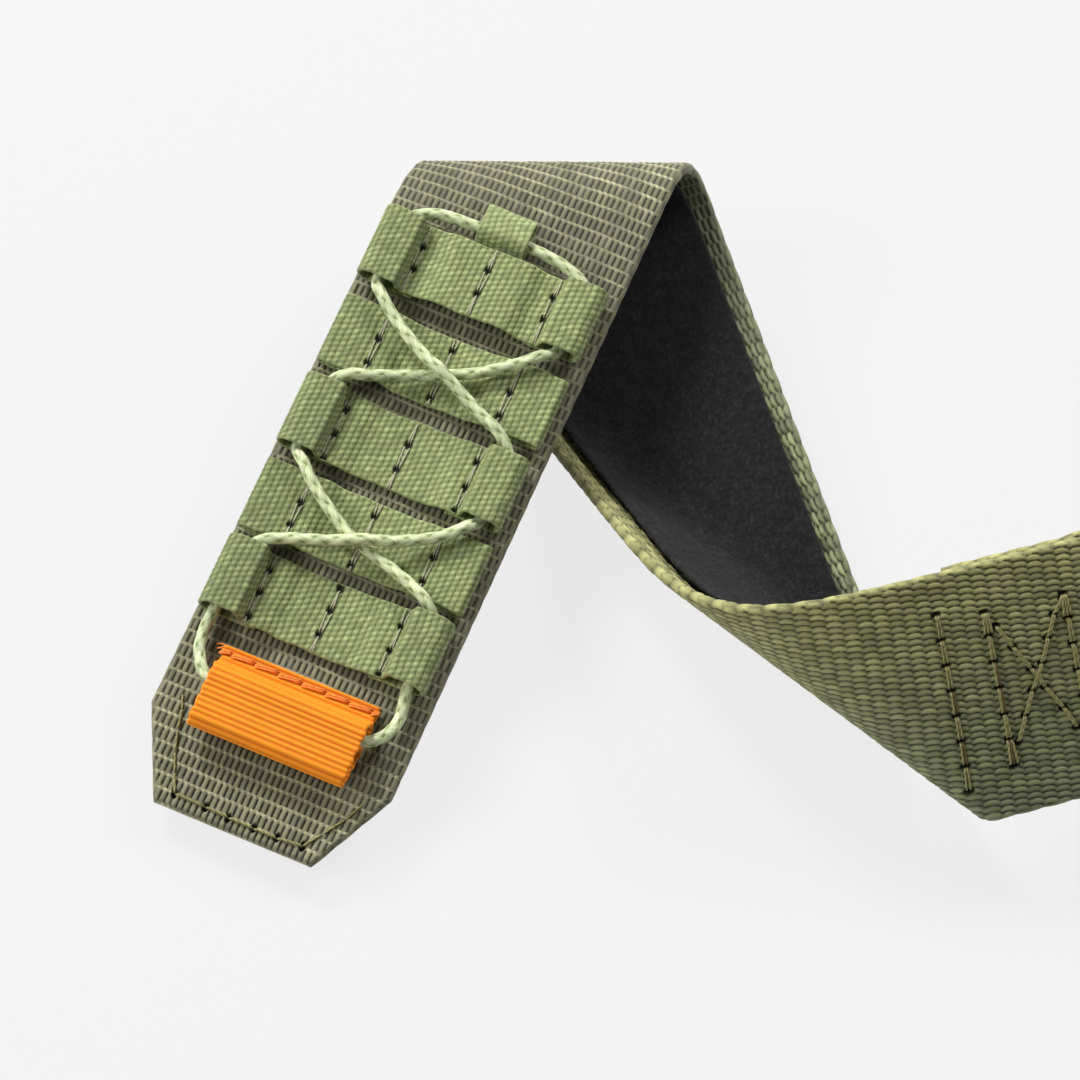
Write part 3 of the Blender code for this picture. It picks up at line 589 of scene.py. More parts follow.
def shade(name, stops, roughness, sheen=0.0, spread=0.12, grain=(30.0, 6.0), rough_bump=0.05,
          patch=None, hue=None, drift_scale=(0.16, 0.3)):
    """A fabric: its colour follows the relief, as painted shade in its hollows, with a drift from
    yarn to yarn and over the cloth.

    patch is a stretch along the strap over which two casts come in, one for each side of the
    webbing, which also brighten it as painted light; hue is how far the hue drifts and how finely.
    """
    made, tree, shader = new_look(name)
    set_inputs(shader, {"Roughness": roughness, "Sheen Weight": sheen, "Sheen Roughness": 0.5,
                        "Specular IOR Level": 0.3})
    # Painted shade: the ramp darkens each fabric where its relief is low, in the hollows between
    # yarns, plies and strands.
    ramp = add_node(tree, "ValToRGB", {}, {"Fac": attribute(tree, "relief")})
    elements = ramp.color_ramp.elements
    for element, (position, color) in zip(elements, (stops[0], stops[-1])):
        element.position = position
        element.color = (*color, 1)
    for position, color in stops[1:-1]:
        elements.new(position).color = (*color, 1)
    color = ramp.outputs["Color"]
    uv = tree.nodes.new("ShaderNodeTexCoord").outputs["UV"]
    scaled = add_node(tree, "Mapping", {"Scale": (*drift_scale, 1.0)}, {"Vector": uv})
    drift = noise_texture(tree, scaled.outputs["Vector"], 1.0, 3.0)
    span = map_range(tree, drift, (0.25, 0.75), (1.0 - spread, 1.0 + spread))
    tone = combine(tree, "MULTIPLY", attribute(tree, "tone"), span)
    if patch:
        stretch, low, high = patch
        split = add_node(tree, "SeparateXYZ", {}, {"Vector": uv})
        along = map_range(tree, split.outputs[0], stretch, (0.0, 1.0))
        across = map_range(tree, split.outputs[1], (-HALF_WIDTH, HALF_WIDTH), (0.0, 1.0))
        cast = mix_colors(tree, "MIX", across, low, high)
        color = mix_colors(tree, "MULTIPLY", along, color, cast)
    tint = add_node(tree, "HueSaturation", {}, {"Value": tone, "Color": color})
    if hue:
        yarn = noise_texture(tree, uv, hue[1], 2.0)
        turn = map_range(tree, yarn, (0.3, 0.7), (0.5 - hue[0], 0.5 + hue[0]))
        tree.links.new(turn, tint.inputs["Hue"])
    tree.links.new(tint.outputs["Color"], shader.inputs["Base Color"])
    fine = add_node(tree, "Mapping", {"Scale": (grain[1], grain[0], 1.0)}, {"Vector": uv})
    fibres = noise_texture(tree, fine.outputs["Vector"], 1.0, 2.0)
    bump = add_node(tree, "Bump", {"Strength": 0.5, "Distance": rough_bump * MM},
                    {"Height": fibres})
    tree.links.new(bump.outputs["Normal"], shader.inputs["Normal"])
    return made


def steel_look(name, color, roughness):
    made, tree, shader = new_look(name)
    set_inputs(shader, {"Base Color": (*color, 1), "Metallic": 1.0})
    place = tree.nodes.new("ShaderNodeTexCoord").outputs["Object"]
    turning = noise_texture(tree, place, 2500.0, 2.0)
    span = map_range(tree, turning, (0.0, 1.0), (roughness * 0.7, roughness * 1.3))
    tree.links.new(span, shader.inputs["Roughness"])
    return made


# Each look's first stops colour the low relief, so they carry painted shade for the hollows.
LOOKS = {
    "webbing": shade(
        "olive_webbing",
        ((0.0, (0.026, 0.026, 0.014)), (0.35, (0.069, 0.067, 0.038)),
         (0.75, (0.156, 0.151, 0.091)), (1.0, (0.232, 0.223, 0.135))),
        0.62, sheen=0.1, spread=0.11, grain=(30.0, 5.0), rough_bump=0.06,
        # The patch is partly painted light: its casts brighten the webbing past the fold.
        patch=((70.0, 112.0), (1.22, 1.42, 1.21), (1.46, 1.47, 0.98)), hue=(0.006, 0.3)),
    "lining": shade(
        "black_loop", ((0.0, (0.002, 0.002, 0.0022)), (1.0, (0.0122, 0.0122, 0.0128))),
        0.95, sheen=0.03, spread=0.8, grain=(14.0, 14.0), rough_bump=0.14,
        drift_scale=(2.0, 3.4)),
    "hook": shade(
        "black_hook", ((0.0, (0.008, 0.008, 0.009)), (1.0, (0.02, 0.02, 0.023))), 0.5),
    "ribbon": shade(
        "green_ribbon",
        ((0.0, (0.055, 0.072, 0.018)), (0.4, (0.155, 0.188, 0.066)),
         (0.75, (0.257, 0.302, 0.121)), (1.0, (0.40, 0.45, 0.21))),
        0.7, sheen=0.1, spread=0.10, grain=(6.0, 30.0), hue=(0.012, 0.5)),
    "seam": shade(
        "pale_seam_thread", ((0.0, (0.28, 0.275, 0.18)), (1.0, (0.54, 0.53, 0.37))),
        0.6, sheen=0.1, spread=0.25, grain=(20.0, 6.0), rough_bump=0.03, hue=(0.015, 0.4)),
    "thread": shade(
        "khaki_thread", ((0.0, (0.12, 0.115, 0.034)), (1.0, (0.35, 0.345, 0.125))),
        0.45, sheen=0.1, spread=0.35, grain=(20.0, 6.0), rough_bump=0.03, hue=(0.03, 0.4)),
    "brown_thread": shade(
        "brown_thread", ((0.0, (0.05, 0.032, 0.010)), (1.0, (0.13, 0.082, 0.028))),
        0.5, spread=0.35, grain=(20.0, 6.0), rough_bump=0.03, hue=(0.008, 0.4)),
    "orange": shade(
        "orange_ribbon",
        ((0.0, (0.50, 0.09, 0.002)), (0.5, (0.76, 0.19, 0.003)), (1.0, (0.90, 0.30, 0.008))),
        0.7, spread=0.04, grain=(6.0, 26.0), rough_bump=0.04),
    "orange_thread": shade(
        "orange_thread", ((0.0, (0.66, 0.12, 0.01)), (1.0, (0.95, 0.33, 0.06))),
        0.6, spread=0.15, grain=(20.0, 6.0), rough_bump=0.03),
    "cord": shade(
        "pale_green_cord",
        ((0.0, (0.08, 0.11, 0.03)), (0.45, (0.26, 0.32, 0.125)),
         (0.8, (0.50, 0.57, 0.30)), (1.0, (0.72, 0.78, 0.50))),
        0.5, sheen=0.1, spread=0.14, grain=(20.0, 4.0), hue=(0.012, 0.3)),
}


# Webbing

TIP_HOLES = ((1.3, 6.3), (1.3, 3.2), (1.2, 0.9), (1.2, -1.6), (1.2, -3.9), (1.4, -6.4))
CROSS_HOLES = tuple((154.7, 8.3 - 2.42 * k) for k in range(8))
BOX_LINES = (
    (159.1, (7.4, 5.25, 2.75, 0.25, -2.3, -4.7, -7.25)),
    (166.7, (7.3, 5.1, 2.6, 0.1, -2.4, -4.8, -7.3)),
)
DIAGONALS = (
    ((159.9, 5.9), (161.1, 3.6), (162.4, 1.25), (163.4, -0.8), (164.7, -3.1), (165.6, -5.2)),
    ((166.5, 7.0), (165.5, 5.7), (164.5, 3.7), (163.5, 1.5), (162.1, -0.8), (161.0, -2.9),
     (159.9, -5.2)),
)
BOX_HOLES = tuple((s, t) for s, row in BOX_LINES for t in row)
WEBBING_HOLES = TIP_HOLES + CROSS_HOLES + BOX_HOLES + DIAGONALS[0] + DIAGONALS[1]
NOTCH_START = STRAP_LENGTH + BAR_LOOP_RADIUS * NOTCH_ANGLE
NOTCH_END = STRAP_LENGTH + BAR_LOOP_RADIUS * np.pi + NOTCH_PAST_LOOP


def webbing_path():
    """Side view of the webbing: straight, round the bar and back to the sewn end."""
    angle = np.linspace(0, np.pi, 41)
    loop = np.stack([STRAP_LENGTH + BAR_LOOP_RADIUS * np.sin(angle),
                     -BAR_LOOP_RADIUS + BAR_LOOP_RADIUS * np.cos(angle)], -1)
    share = np.linspace(0, 1, 21)[1:]
    low = -2 * BAR_LOOP_RADIUS
    taper = np.stack([STRAP_LENGTH - FOLD_BACK_TAPER * share,
                      low + (FOLD_BACK_HEIGHT - low) * ease(share)], -1)
    back = (STRAP_LENGTH - FOLD_BACK_LENGTH, FOLD_BACK_HEIGHT)
    return np.concatenate([[(0.0, 0.0)], loop, taper, [back]])


def webbing_half(p):
    share = np.clip(p / TIP_CHAMFER, 0, 1)
    lobes = (0.05 + 0.06 * past_fold(p)) * (selvedge(p) - 0.8)
    return TIP_HALF_WIDTH + (HALF_WIDTH - TIP_HALF_WIDTH) * share + lobes


def webbing_low(p):
    return -webbing_half(p)


def webbing_high(p):
    inside = np.clip(np.minimum(p - NOTCH_START, NOTCH_END - p) / NOTCH_RAMP, 0, 1)
    return webbing_half(p) * (1 - inside) + NOTCH_INNER * inside


def fine_edges(fine, coarse, margin, width):
    """Shares across a face that is only seen along its edges."""
    near = np.arange(0, margin, fine) / width
    middle = np.linspace(margin / width, 1 - margin / width, int((width - 2 * margin) / coarse))
    return np.concatenate([near, middle, 1 - near[::-1]])


def make_webbing():
    strip("strap_webbing", webbing_path(), webbing_low, webbing_high, 2 * FACE,
          np.linspace(0, 1, 241), fine_edges(0.11, 0.8, 2.4, 23.2), webbing_relief, "s",
          "webbing", ("webbing",), step=0.137, edge=0.42, end_round=0.5, depth=0.22)


def lining_relief(p, w, kind):
    rough = 0.6 * noise(p / 0.9, w / 0.9, 31) + 0.4 * noise(p / 0.34, w / 0.34, 32)
    fuzz = noise(p / 0.22, w / 0.22, 33)
    return 0.16 * (1 - rough) + 0.08 * (1 - fuzz), 0.15 + 1.8 * fuzz


def make_lining():
    path = [(s, LINING_HEIGHT) for s in LINING_ENDS]
    strip("black_loop_lining", path, at(-LINING_HALF_WIDTH), at(LINING_HALF_WIDTH),
          LINING_THICKNESS, np.linspace(0, 1, 12), np.linspace(0, 1, 100), lining_relief, "s",
          "lining", ("loop_lining",), step=0.22, edge=0.3)


def patch_half(p):
    share = np.clip(p / (TIP_CHAMFER - PATCH_ENDS[0]), 0, 1)
    return PATCH_TIP_HALF_WIDTH + (PATCH_HALF_WIDTH - PATCH_TIP_HALF_WIDTH) * share


def patch_low(p):
    return -patch_half(p)


def make_hook_patch():
    path = [(s, PATCH_HEIGHT) for s in PATCH_ENDS]
    strip("black_hook_patch", path, patch_low, patch_half, PATCH_THICKNESS,
          np.linspace(0, 1, 20), np.linspace(0, 1, 60), lining_relief, "s", "hook",
          ("hook_patch",), step=0.3, edge=0.2)


def make_hooks():
    """Rows of small moulded hooks that stand down from the patch and bend over, turn about."""
    share = np.linspace(0, 1, 7)
    lean = HOOK_LEAN * np.sin(np.pi * share * 0.8) ** 2
    rise = HOOK_RISE * np.sin(np.pi * share * 0.62)
    angle = np.linspace(0, 2 * np.pi, 6, endpoint=False)
    ring = np.stack([0.11 * np.cos(angle), 0.13 * np.sin(angle), 0 * angle], -1)
    size = np.array((1.0, 0.93, 0.86, 0.78, 0.7, 0.6, 0.04))
    faces = ring_faces(len(share), len(angle))
    parts = []
    for row, s in enumerate(np.arange(*HOOK_ROWS)):
        reach = float(patch_half(s - PATCH_ENDS[0])) - HOOK_MARGIN
        for t in np.arange(-reach, reach, HOOK_PITCH):
            turn = 1 if (row + len(parts)) % 2 else -1
            stem = np.stack([s + turn * lean, 0 * share + t, HOOK_ROOT - rise], -1)
            points = (stem[:, None] + ring[None] * size[:, None, None]).reshape(-1, 3)
            # Painted shade: relief rises from root to tip, so the ramp makes each hook darker at
            # its root.
            layers = {"relief": np.repeat(share, len(angle)), "tone": np.ones(len(points))}
            parts.append((lay(points), faces, points[:, :2], layers))
    join_parts("black_hooks", parts, "hook")


# Bands and tabs

def eased_line(marks, count):
    """A side view through the marks, level at each of them."""
    line = [marks[0]]
    for (start, low), (end, high) in zip(marks, marks[1:]):
        steps = count if abs(high - low) > 0.01 else 1
        for index in range(1, steps + 1):
            share = index / steps
            line.append((start + (end - start) * share, low + (high - low) * ease(share)))
    return line


def arc(middle, radius, start, end, count):
    angles = np.linspace(start, end, count + 1)
    return [(middle[0] + radius * math.cos(a), middle[1] + radius * math.sin(a)) for a in angles]


def band_half(loop_height, middle_height):
    """Side view of half a band: from its middle over the seam, round the loop and back under."""
    under = RIBBON_GAP + RIBBON / 2
    seam = under + RIBBON + RIBBON_GAP
    top = under + loop_height
    radius = loop_height / 2
    loop_end = BAND_HALF_SPAN - RIBBON / 2 - radius
    seam_edge = SEAM_OFFSET + SEAM_HALF_WIDTH
    line = eased_line([(0.0, middle_height), (MIDDLE_REACH, middle_height + MIDDLE_RISE),
                       (SEAM_OFFSET - SEAM_ALLOWANCE - RIBBON_GAP, seam), (seam_edge, seam),
                       (seam_edge + SHOULDER, top), (loop_end, top)], 12)
    line += arc((loop_end, under + radius), radius, math.pi / 2, -math.pi / 2, 24)[1:]
    return line + [(SEAM_OFFSET - SEAM_ALLOWANCE, under)]


# Needle holes of each band's three seams, as places along the strap, left seam first
BAND_HOLES = (
    ((57.35, 59.75), (57.25, 59.8), (57.5, 59.9)),
    ((46.85, 49.5), (46.2, 48.8, 51.4), (46.8, 49.4)),
    ((36.3, 39.0, 41.6), (38.3, 41.0), (36.5, 39.0, 41.7)),
    ((29.1, 31.5), (27.9, 30.6, 33.2), (28.8, 31.4)),
    ((19.3, 21.8, 24.2), (20.5, 23.05, 25.4), (18.9, 21.4, 24.0)),
)
SEAM_PLACES = (BAND_SHIFT + SEAM_OFFSET, BAND_SHIFT, BAND_SHIFT - SEAM_OFFSET)


def band_middle(index):
    """Height of a band's ribbon at its middle."""
    return RIBBON_GAP + RIBBON / 2 + (FIRST_BAND_LIFT if index == 0 else 0.0)


def wavy(p, seed):
    return 0.16 * (noise(p / 1.7, 0 * p + seed, seed) - 0.5)


def make_band(index):
    laced = index % 2 == 0
    half = band_half(LACED_HEIGHT if laced else EMPTY_HEIGHT, band_middle(index))
    path = np.array([(-a, h) for a, h in reversed(half[1:])] + half) + (BAND_SHIFT, FACE)
    start = BAND_PLACES[index] - BAND_WIDTH / 2
    name = "ribbon_band_%d" % (index + 1)
    lengths = path_lengths(path)
    centre = lengths[len(half) - 1]
    top = (path[:, 1] > FACE + RIBBON) & (np.abs(path[:, 0] - BAND_SHIFT) < 10)
    seams = [float(np.interp(place, path[top, 0], lengths[top])) for place in SEAM_PLACES]
    holes = [(seam, s) for seam, row in zip(seams, BAND_HOLES[index]) for s in row]

    def relief(p, w, kind):
        weave, tone = ribbon_weave(p - centre, w)
        dent = np.where(kind == 0, 0.06, 0.12) * (1 - weave)
        # Painted shade in the needle holes: they darken as well as dent.
        hole = pits(p, w, holes, (0.33, 0.45)) * (kind == 1)
        # Painted shade: each band a little darker the nearer it lies to the tip, and darker still
        # over its left loop.
        painted_shade = 1 - 0.015 * index - 0.15 * np.clip((p - centre - 6.5) / 2, 0, 1)
        return np.maximum(dent, 0.42 * hole), tone * painted_shade * (1 - 0.85 * hole)

    def low(p):
        return start + BAND_TRIM + wavy(p, 51 + index)

    def high(p):
        return start + BAND_WIDTH - BAND_TRIM + wavy(p, 61 + index)

    strip("green_" + name, path, low, high, RIBBON, np.linspace(0, 1, 92),
          np.linspace(0, 1, 14), relief, "t", "ribbon", (name,), step=0.085,
          edge=0.2, end_round=0.2, depth=0.14)


def thread_relief(z, theta):
    """Two plies twisted together."""
    height = np.abs(np.cos(theta - 2 * np.pi * z / THREAD_TWIST))
    # Painted shade: each ply is lighter on its crown and darker in the groove beside it.
    return THREAD_DENT * (1 - height), 0.88 + 0.24 * height, THREAD_DENT


def stitch(start, end, level, radius, sink, bulge):
    """One stitch between two needle holes (s, t) on a face at a level."""
    share = np.linspace(0, 1, 17)
    flat = np.array(start) * (1 - share[:, None]) + np.array(end) * share[:, None]
    dive = np.clip(np.minimum(share, 1 - share) / 0.10, 0, 1)
    height = level + (bulge + radius * 0.6) * dive - sink * (1 - dive)
    route = lay(np.stack([flat[:, 0], flat[:, 1], height], -1))
    return rope_parts(route, radius, THREAD_SIDES, thread_relief, 0.05)


def make_band_stitches():
    """The bands' seams: two fine plies of thread between the needle holes."""
    parts = []
    seam_top = FACE + RIBBON_GAP + RIBBON + RIBBON_GAP + RIBBON
    for index, rows in enumerate(BAND_HOLES):
        start = BAND_PLACES[index] - BAND_WIDTH / 2
        middle_top = FACE + band_middle(index) + RIBBON / 2
        for t, top, holes in zip(SEAM_PLACES, (seam_top, middle_top, seam_top), rows):
            marks = [start - 0.1, *holes, start + BAND_WIDTH + 0.1]
            for number, (first, second) in enumerate(zip(marks, marks[1:])):
                if second - first < 0.7:
                    continue
                for side in (-0.12, 0.12):
                    lean = side * (1.1 if number % 2 else -1.1)
                    parts.append(stitch((first + 0.16, t + side),
                                        (second - 0.16, t + side + lean),
                                        top - 0.05, 0.07, 0.35, 0.05))
    join_parts("band_seam_thread", parts, "seam")


TIP_SEAM = (
    (10.4, 9.6), (9.0, 9.0), (7.1, 8.6), (5.0, 7.9), (3.1, 7.1), (1.35, 6.3), (1.3, 3.2),
    (1.2, 0.9), (1.15, -1.6), (1.15, -3.9), (1.4, -6.4), (3.2, -7.6), (5.2, -8.9), (7.2, -9.8),
)
WEBBING_THREAD_LEVEL = FACE - 0.06


def webbing_stitch(start, end, radius, bulge):
    return stitch(start, end, WEBBING_THREAD_LEVEL, radius, 0.4, bulge)


def make_webbing_stitches():
    """Thread of the tip seam, the cross seam and the boxed cross near the bar."""
    khaki, brown = [], []
    for first, second in zip(TIP_SEAM, TIP_SEAM[1:]):
        khaki.append(webbing_stitch(first, second, 0.12, 0.06))
    for index, (first, second) in enumerate(zip(CROSS_HOLES, CROSS_HOLES[1:])):
        for shift in (-0.1, 0.1):
            target = brown if index in (3, 5) and shift > 0 else khaki
            target.append(webbing_stitch((first[0] + shift, first[1] - 0.1),
                                         (second[0] + 1.6 * shift, second[1] + 0.1),
                                         0.11, 0.08))
    for side, (s, holes) in enumerate(BOX_LINES):
        for index, (first, second) in enumerate(zip(holes, holes[1:])):
            shifts = (-0.32, 0.0, 0.32) if index in (0, 5) else (-0.14, 0.14)
            for shift in shifts:
                middle_strand = index == 5 and shift == 0
                right_strand = index in (2, 3) and shift > 0
                target = brown if side == 0 and (middle_strand or right_strand) else khaki
                target.append(webbing_stitch((s + 0.6 * shift, first - 0.08),
                                             (s + 1.1 * shift, second + 0.08), 0.13, 0.16))
    for row in DIAGONALS:
        for first, second in zip(row, row[1:]):
            for shift in (-0.09, 0.09):
                khaki.append(webbing_stitch((first[0] + shift, first[1]),
                                            (second[0] + shift, second[1]), 0.11, 0.14))
    join_parts("webbing_seam_thread", khaki, "thread")
    join_parts("webbing_seam_brown_thread", brown, "brown_thread")


def make_cord_tab():
    low = CORD_TAB_GAP + CORD_TAB_RIBBON / 2
    tucked = low + CORD_TAB_RIBBON + CORD_TAB_GAP
    band_edge = BAND_PLACES[0] + BAND_WIDTH / 2
    cord = (band_edge + CORD_TAB_CORD[0], CORD_TAB_CORD[1])
    wrap = CORD_RADIUS + CORD_GAP + CORD_TAB_RIBBON / 2
    fold = (cord[1] + wrap - low) / 2
    fold_place = band_edge + CORD_TAB_REACH - CORD_TAB_RIBBON / 2 - fold
    line = [(band_edge - CORD_TAB_TUCK, tucked), (band_edge, tucked)]
    line += arc(cord, wrap, math.pi, math.pi / 2, 24)
    line += arc((fold_place, low + fold), fold, math.pi / 2, -math.pi / 2, 24)
    line += [(cord[0], low), (band_edge - CORD_TAB_TUCK, low)]

    def relief(p, w, kind):
        weave, tone = ribbon_weave(w, p * FLOAT_PITCH / CORD_TAB_FLOAT)
        return np.where(kind == 0, 0.05, 0.12) * (1 - weave), tone

    strip("green_cord_tab", np.array(line) + (0.0, FACE), at(BAND_SHIFT - CORD_TAB_HALF_WIDTH),
          at(BAND_SHIFT + CORD_TAB_HALF_WIDTH), CORD_TAB_RIBBON, np.linspace(0, 1, 62),
          np.linspace(0, 1, 12), relief, "s", "ribbon", ("cord_tab",), step=0.08,
          edge=0.16, end_round=0.2)


def pull_tab_path():
    """Side view of the pull tab: its lower ply, the fold and the upper ply down to the seam."""
    low = RIBBON_GAP + PULL_RIBBON / 2
    high = low + PULL_HEIGHT
    seam = low + PULL_RIBBON + RIBBON_GAP
    radius = (PULL_HEIGHT - PULL_LIFT) / 2
    fold = PULL_START + PULL_RIBBON / 2 + radius
    line = eased_line([(PULL_END, low), (PULL_LIFT_FROM, low), (fold, low + PULL_LIFT)], 20)
    line += arc((fold, high - radius), radius, -math.pi / 2, -3 * math.pi / 2, 24)[1:]
    s = np.linspace(fold, PULL_END, 81)[1:]
    slope = PULL_END - PULL_SEAM - PULL_SLOPE_FROM
    share = np.clip((s - PULL_SLOPE_FROM) / slope, 0, 1)
    upper = np.stack([s, high + (seam - high) * ease(share)], -1)
    path = np.concatenate([line, upper]) + (0.0, FACE)
    return path, (PULL_END - fold) / PULL_RIBS, FACE + seam + PULL_RIBBON / 2


def make_pull_tab():
    path, pitch, top = pull_tab_path()
    total = path_lengths(path)[-1]
    first_hole, hole_pitch, hole_count = PULL_SEAM_HOLES
    hole_places = [first_hole - hole_pitch * k for k in range(hole_count)]
    holes = [(total - 0.8, t) for t in hole_places]

    def wave(p):
        return 0.13 * np.abs(np.sin(np.pi * p / pitch / 2.5)) - 0.1

    def low(p):
        return -PULL_HALF_WIDTH - wave(p)

    def high(p):
        return PULL_HALF_WIDTH + wave(p)

    def relief(p, w, kind):
        swing = np.sin(np.pi * p / pitch + 0.6 * (noise(w / 6, p / 3, 71) - 0.5))
        fine = np.abs(np.sin(np.pi * w / 0.24))
        strength = 0.6 + 0.4 * hashed(np.floor(p / pitch), 0 * p, 72)
        height = 1 - strength * (1 - np.sqrt(swing ** 2 + 0.05) / 1.02)
        seam_line = np.exp(-((p - total + 0.8) / 0.3) ** 2) * (kind == 1)
        dent = 0.19 * (1 - height) + 0.015 * (1 - fine) + 0.05 * seam_line
        hole = pits(p, w, holes, (0.24, 0.28)) * (kind == 1)
        tone = 0.97 + 0.06 * hashed(np.floor(p / pitch), 0 * p, 73)
        # Painted shade in the needle holes: they darken as well as dent.
        return np.maximum(dent, 0.2 * hole), tone * (1 - 0.25 * hole)

    strip("orange_pull_tab", path, low, high, PULL_RIBBON, np.linspace(0, 1, 130),
          np.linspace(0, 1, 30), relief, "s", "orange", ("pull_tab",), step=0.07,
          edge=0.2, end_round=0.2, depth=0.2)
    parts = []
    marks = [7.9, *hole_places, -7.9]
    for first, second in zip(marks, marks[1:]):
        for side in (-0.1, 0.1):
            parts.append(stitch((PULL_END - 0.95 + side, first), (PULL_END - 0.62 + side, second),
                                top - 0.07, 0.10, 0.3, 0.05))
    join_parts("pull_tab_seam_thread", parts, "orange_thread")


FRAYS = ((15.9, 1.25), (15.7, 1.0), (15.45, 0.7), (15.8, 0.5))    # place and length of each end


def make_pull_tab_fray():
    """Loose ends at the pull tab's upper corner."""
    share = np.linspace(0, 1, 14)
    parts = []
    for number, (s, reach) in enumerate(FRAYS):
        route = np.stack([s + 0.22 * np.sin(3 * share + number), 7.5 + reach * share,
                          FACE + 0.6 + 0.1 * number * share - 0.3 * share ** 2], -1)
        parts.append(rope_parts(lay(route), 0.09, THREAD_SIDES, thread_relief, 0.1))
    join_parts("pull_tab_fray", parts, "orange_thread")


# Lacing cord

CORD_ROUTE = (              # s, t and height over the webbing's face
    (12.2, 0.5, 1.75), (12.2, 4.0, 1.75), (12.1, 6.8, 1.75), (12.6, 8.4, 1.6), (14.2, 9.6, 1.3),
    (16.0, 10.1, 1.2), (18.2, 10.1, 1.5), (22.2, 9.8, 1.55), (25.4, 9.6, 1.55),
    (26.8, 7.8, 2.4), (28.6, 2.9, 2.75), (29.7, 0.3, 3.2), (30.8, -2.4, 2.8), (33.0, -6.1, 2.5),
    (34.9, -7.9, 2.5), (36.4, -8.8, 1.55), (39.8, -8.8, 1.55), (43.2, -8.7, 1.55),
    (44.8, -7.1, 2.4), (45.8, -4.9, 2.4), (47.2, -1.8, 2.8), (48.2, 0.3, 3.2),
    (49.1, 2.4, 2.8), (51.2, 5.9, 2.5), (53.2, 8.4, 2.45), (54.9, 9.6, 1.55),
    (58.4, 9.6, 1.55), (61.6, 9.5, 1.55),
    (63.4, 7.2, 1.3), (63.7, 3.4, 1.43), (63.7, 0.4, 1.45), (63.7, -2.4, 1.43),
    (63.3, -6.0, 1.3), (61.8, -8.6, 1.55), (58.4, -8.8, 1.55), (54.9, -8.7, 1.55),
    (53.4, -7.5, 2.45), (51.7, -5.7, 2.4), (49.7, -2.7, 1.9), (48.2, 0.3, 1.75),
    (47.2, 2.4, 1.85), (45.3, 6.2, 2.45), (44.6, 8.1, 2.45), (43.2, 9.5, 1.55),
    (39.8, 9.6, 1.55), (36.4, 9.6, 1.55),
    (34.9, 8.4, 2.5), (32.9, 6.2, 2.4), (30.6, 2.6, 1.9), (29.7, 0.3, 1.75), (28.1, -4.6, 2.2),
    (26.9, -7.3, 2.4), (25.4, -8.8, 1.55),
    (22.2, -9.0, 1.55), (18.2, -9.3, 1.5), (16.0, -9.7, 1.2), (14.2, -9.4, 1.3),
    (12.6, -8.3, 1.6), (12.1, -6.7, 1.75), (12.2, -4.0, 1.75), (12.2, -0.5, 1.75),
)


def smooth_route(points, step):
    """Evenly spaced places on a smooth curve through the route's points."""
    share = np.linspace(0, 1, 24, endpoint=False)[:, None]
    fine = []
    for index in range(len(points) - 1):
        before = points[max(index - 1, 0)]
        start, end = points[index], points[index + 1]
        after = points[min(index + 2, len(points) - 1)]
        fine.append((2 * start + (end - before) * share
                     + (2 * before - 5 * start + 4 * end - after) * share ** 2
                     + (3 * start - before - 3 * end + after) * share ** 3) / 2)
    return resample(np.concatenate(fine + [points[-1:]]), step)[0]


def braid_relief(z, theta):
    """Three strands each way, over and under, with a slot at each corner where they part."""
    turn = STRANDS * theta / (2 * np.pi)
    climb = STRANDS * z / BRAID_PITCH
    a, b = turn + climb, turn - climb
    share_a, share_b = a - np.floor(a), b - np.floor(b)
    top = np.mod(np.floor(a) + np.floor(b), 2) < 1
    across = np.where(top, share_a, share_b)
    along = np.where(top, share_b, share_a)
    side, end = np.abs(2 * across - 1), np.abs(2 * along - 1)
    slot = np.clip(side / 0.3 - 2.3, 0, 1) * np.clip(end / 0.5 - 0.6, 0, 1)
    yarn = np.floor(YARNS * across)
    lines = np.abs(np.sin(YARNS * np.pi * across)) ** 0.6
    # Painted shade: the slots and the grooves between yarns get low relief, which the ramp darkens.
    height = 0.84 + 0.16 * np.sin(np.pi * along) - 0.12 * side ** 3 - 0.24 * (1 - lines)
    height = np.clip(height - 0.6 * slot, 0, 1)
    strand = np.where(top, np.floor(a), np.floor(b) + 40)
    tone = hashed(strand * YARNS + yarn, np.floor(z / 2.2), 41)
    return BRAID_DENT * (1 - height), 0.74 + 0.46 * tone, BRAID_DENT


def make_cord():
    flat = np.array(CORD_ROUTE) + (0.0, 0.0, FACE)
    route = smooth_route(lay(flat), CORD_STEP * MM)
    cord = rope_parts(route, CORD_RADIUS, 30, braid_relief, 0.3)
    join_parts("braided_lacing_cord", [cord], "cord", ("lacing_cord",))


# Table, lights and camera

CAMERA_FIELD = 11.175 * DEGREE
CAMERA_PLACE = (-138.757, -73.966, 476.928)
CAMERA_WAYS = (             # right, up and back, beside the flat strap
    (0.39056117, -0.92010445, 0.02949179),
    (0.85368115, 0.37398341, 0.36244298),
    (-0.34451484, -0.11637957, 0.93153922),
)
SENSOR_WIDTH = 36.0
TABLE_REACH = 3.0
TABLE_LEVEL = -0.0002
TABLE_WHITE = 0.85          # as the strap sees the table
TABLE_SEEN_WHITE = 0.09     # as the camera sees it, with a lift that keeps its shadows faint
TABLE_LIFT = 0.792
WORLD_LIGHT = 0.17
PAPER_LIGHT = 0.91
LIGHT_DISTANCE = 0.9
LIGHTS = (                  # name, azimuth from +X, elevation, size in metres, power in watts
    ("key_softbox", 148, 37, 0.26, 7.0),
    ("left_softbox", 208, 34, 0.36, 4.0),
    ("far_softbox", 76, 38, 0.30, 4.4),
)


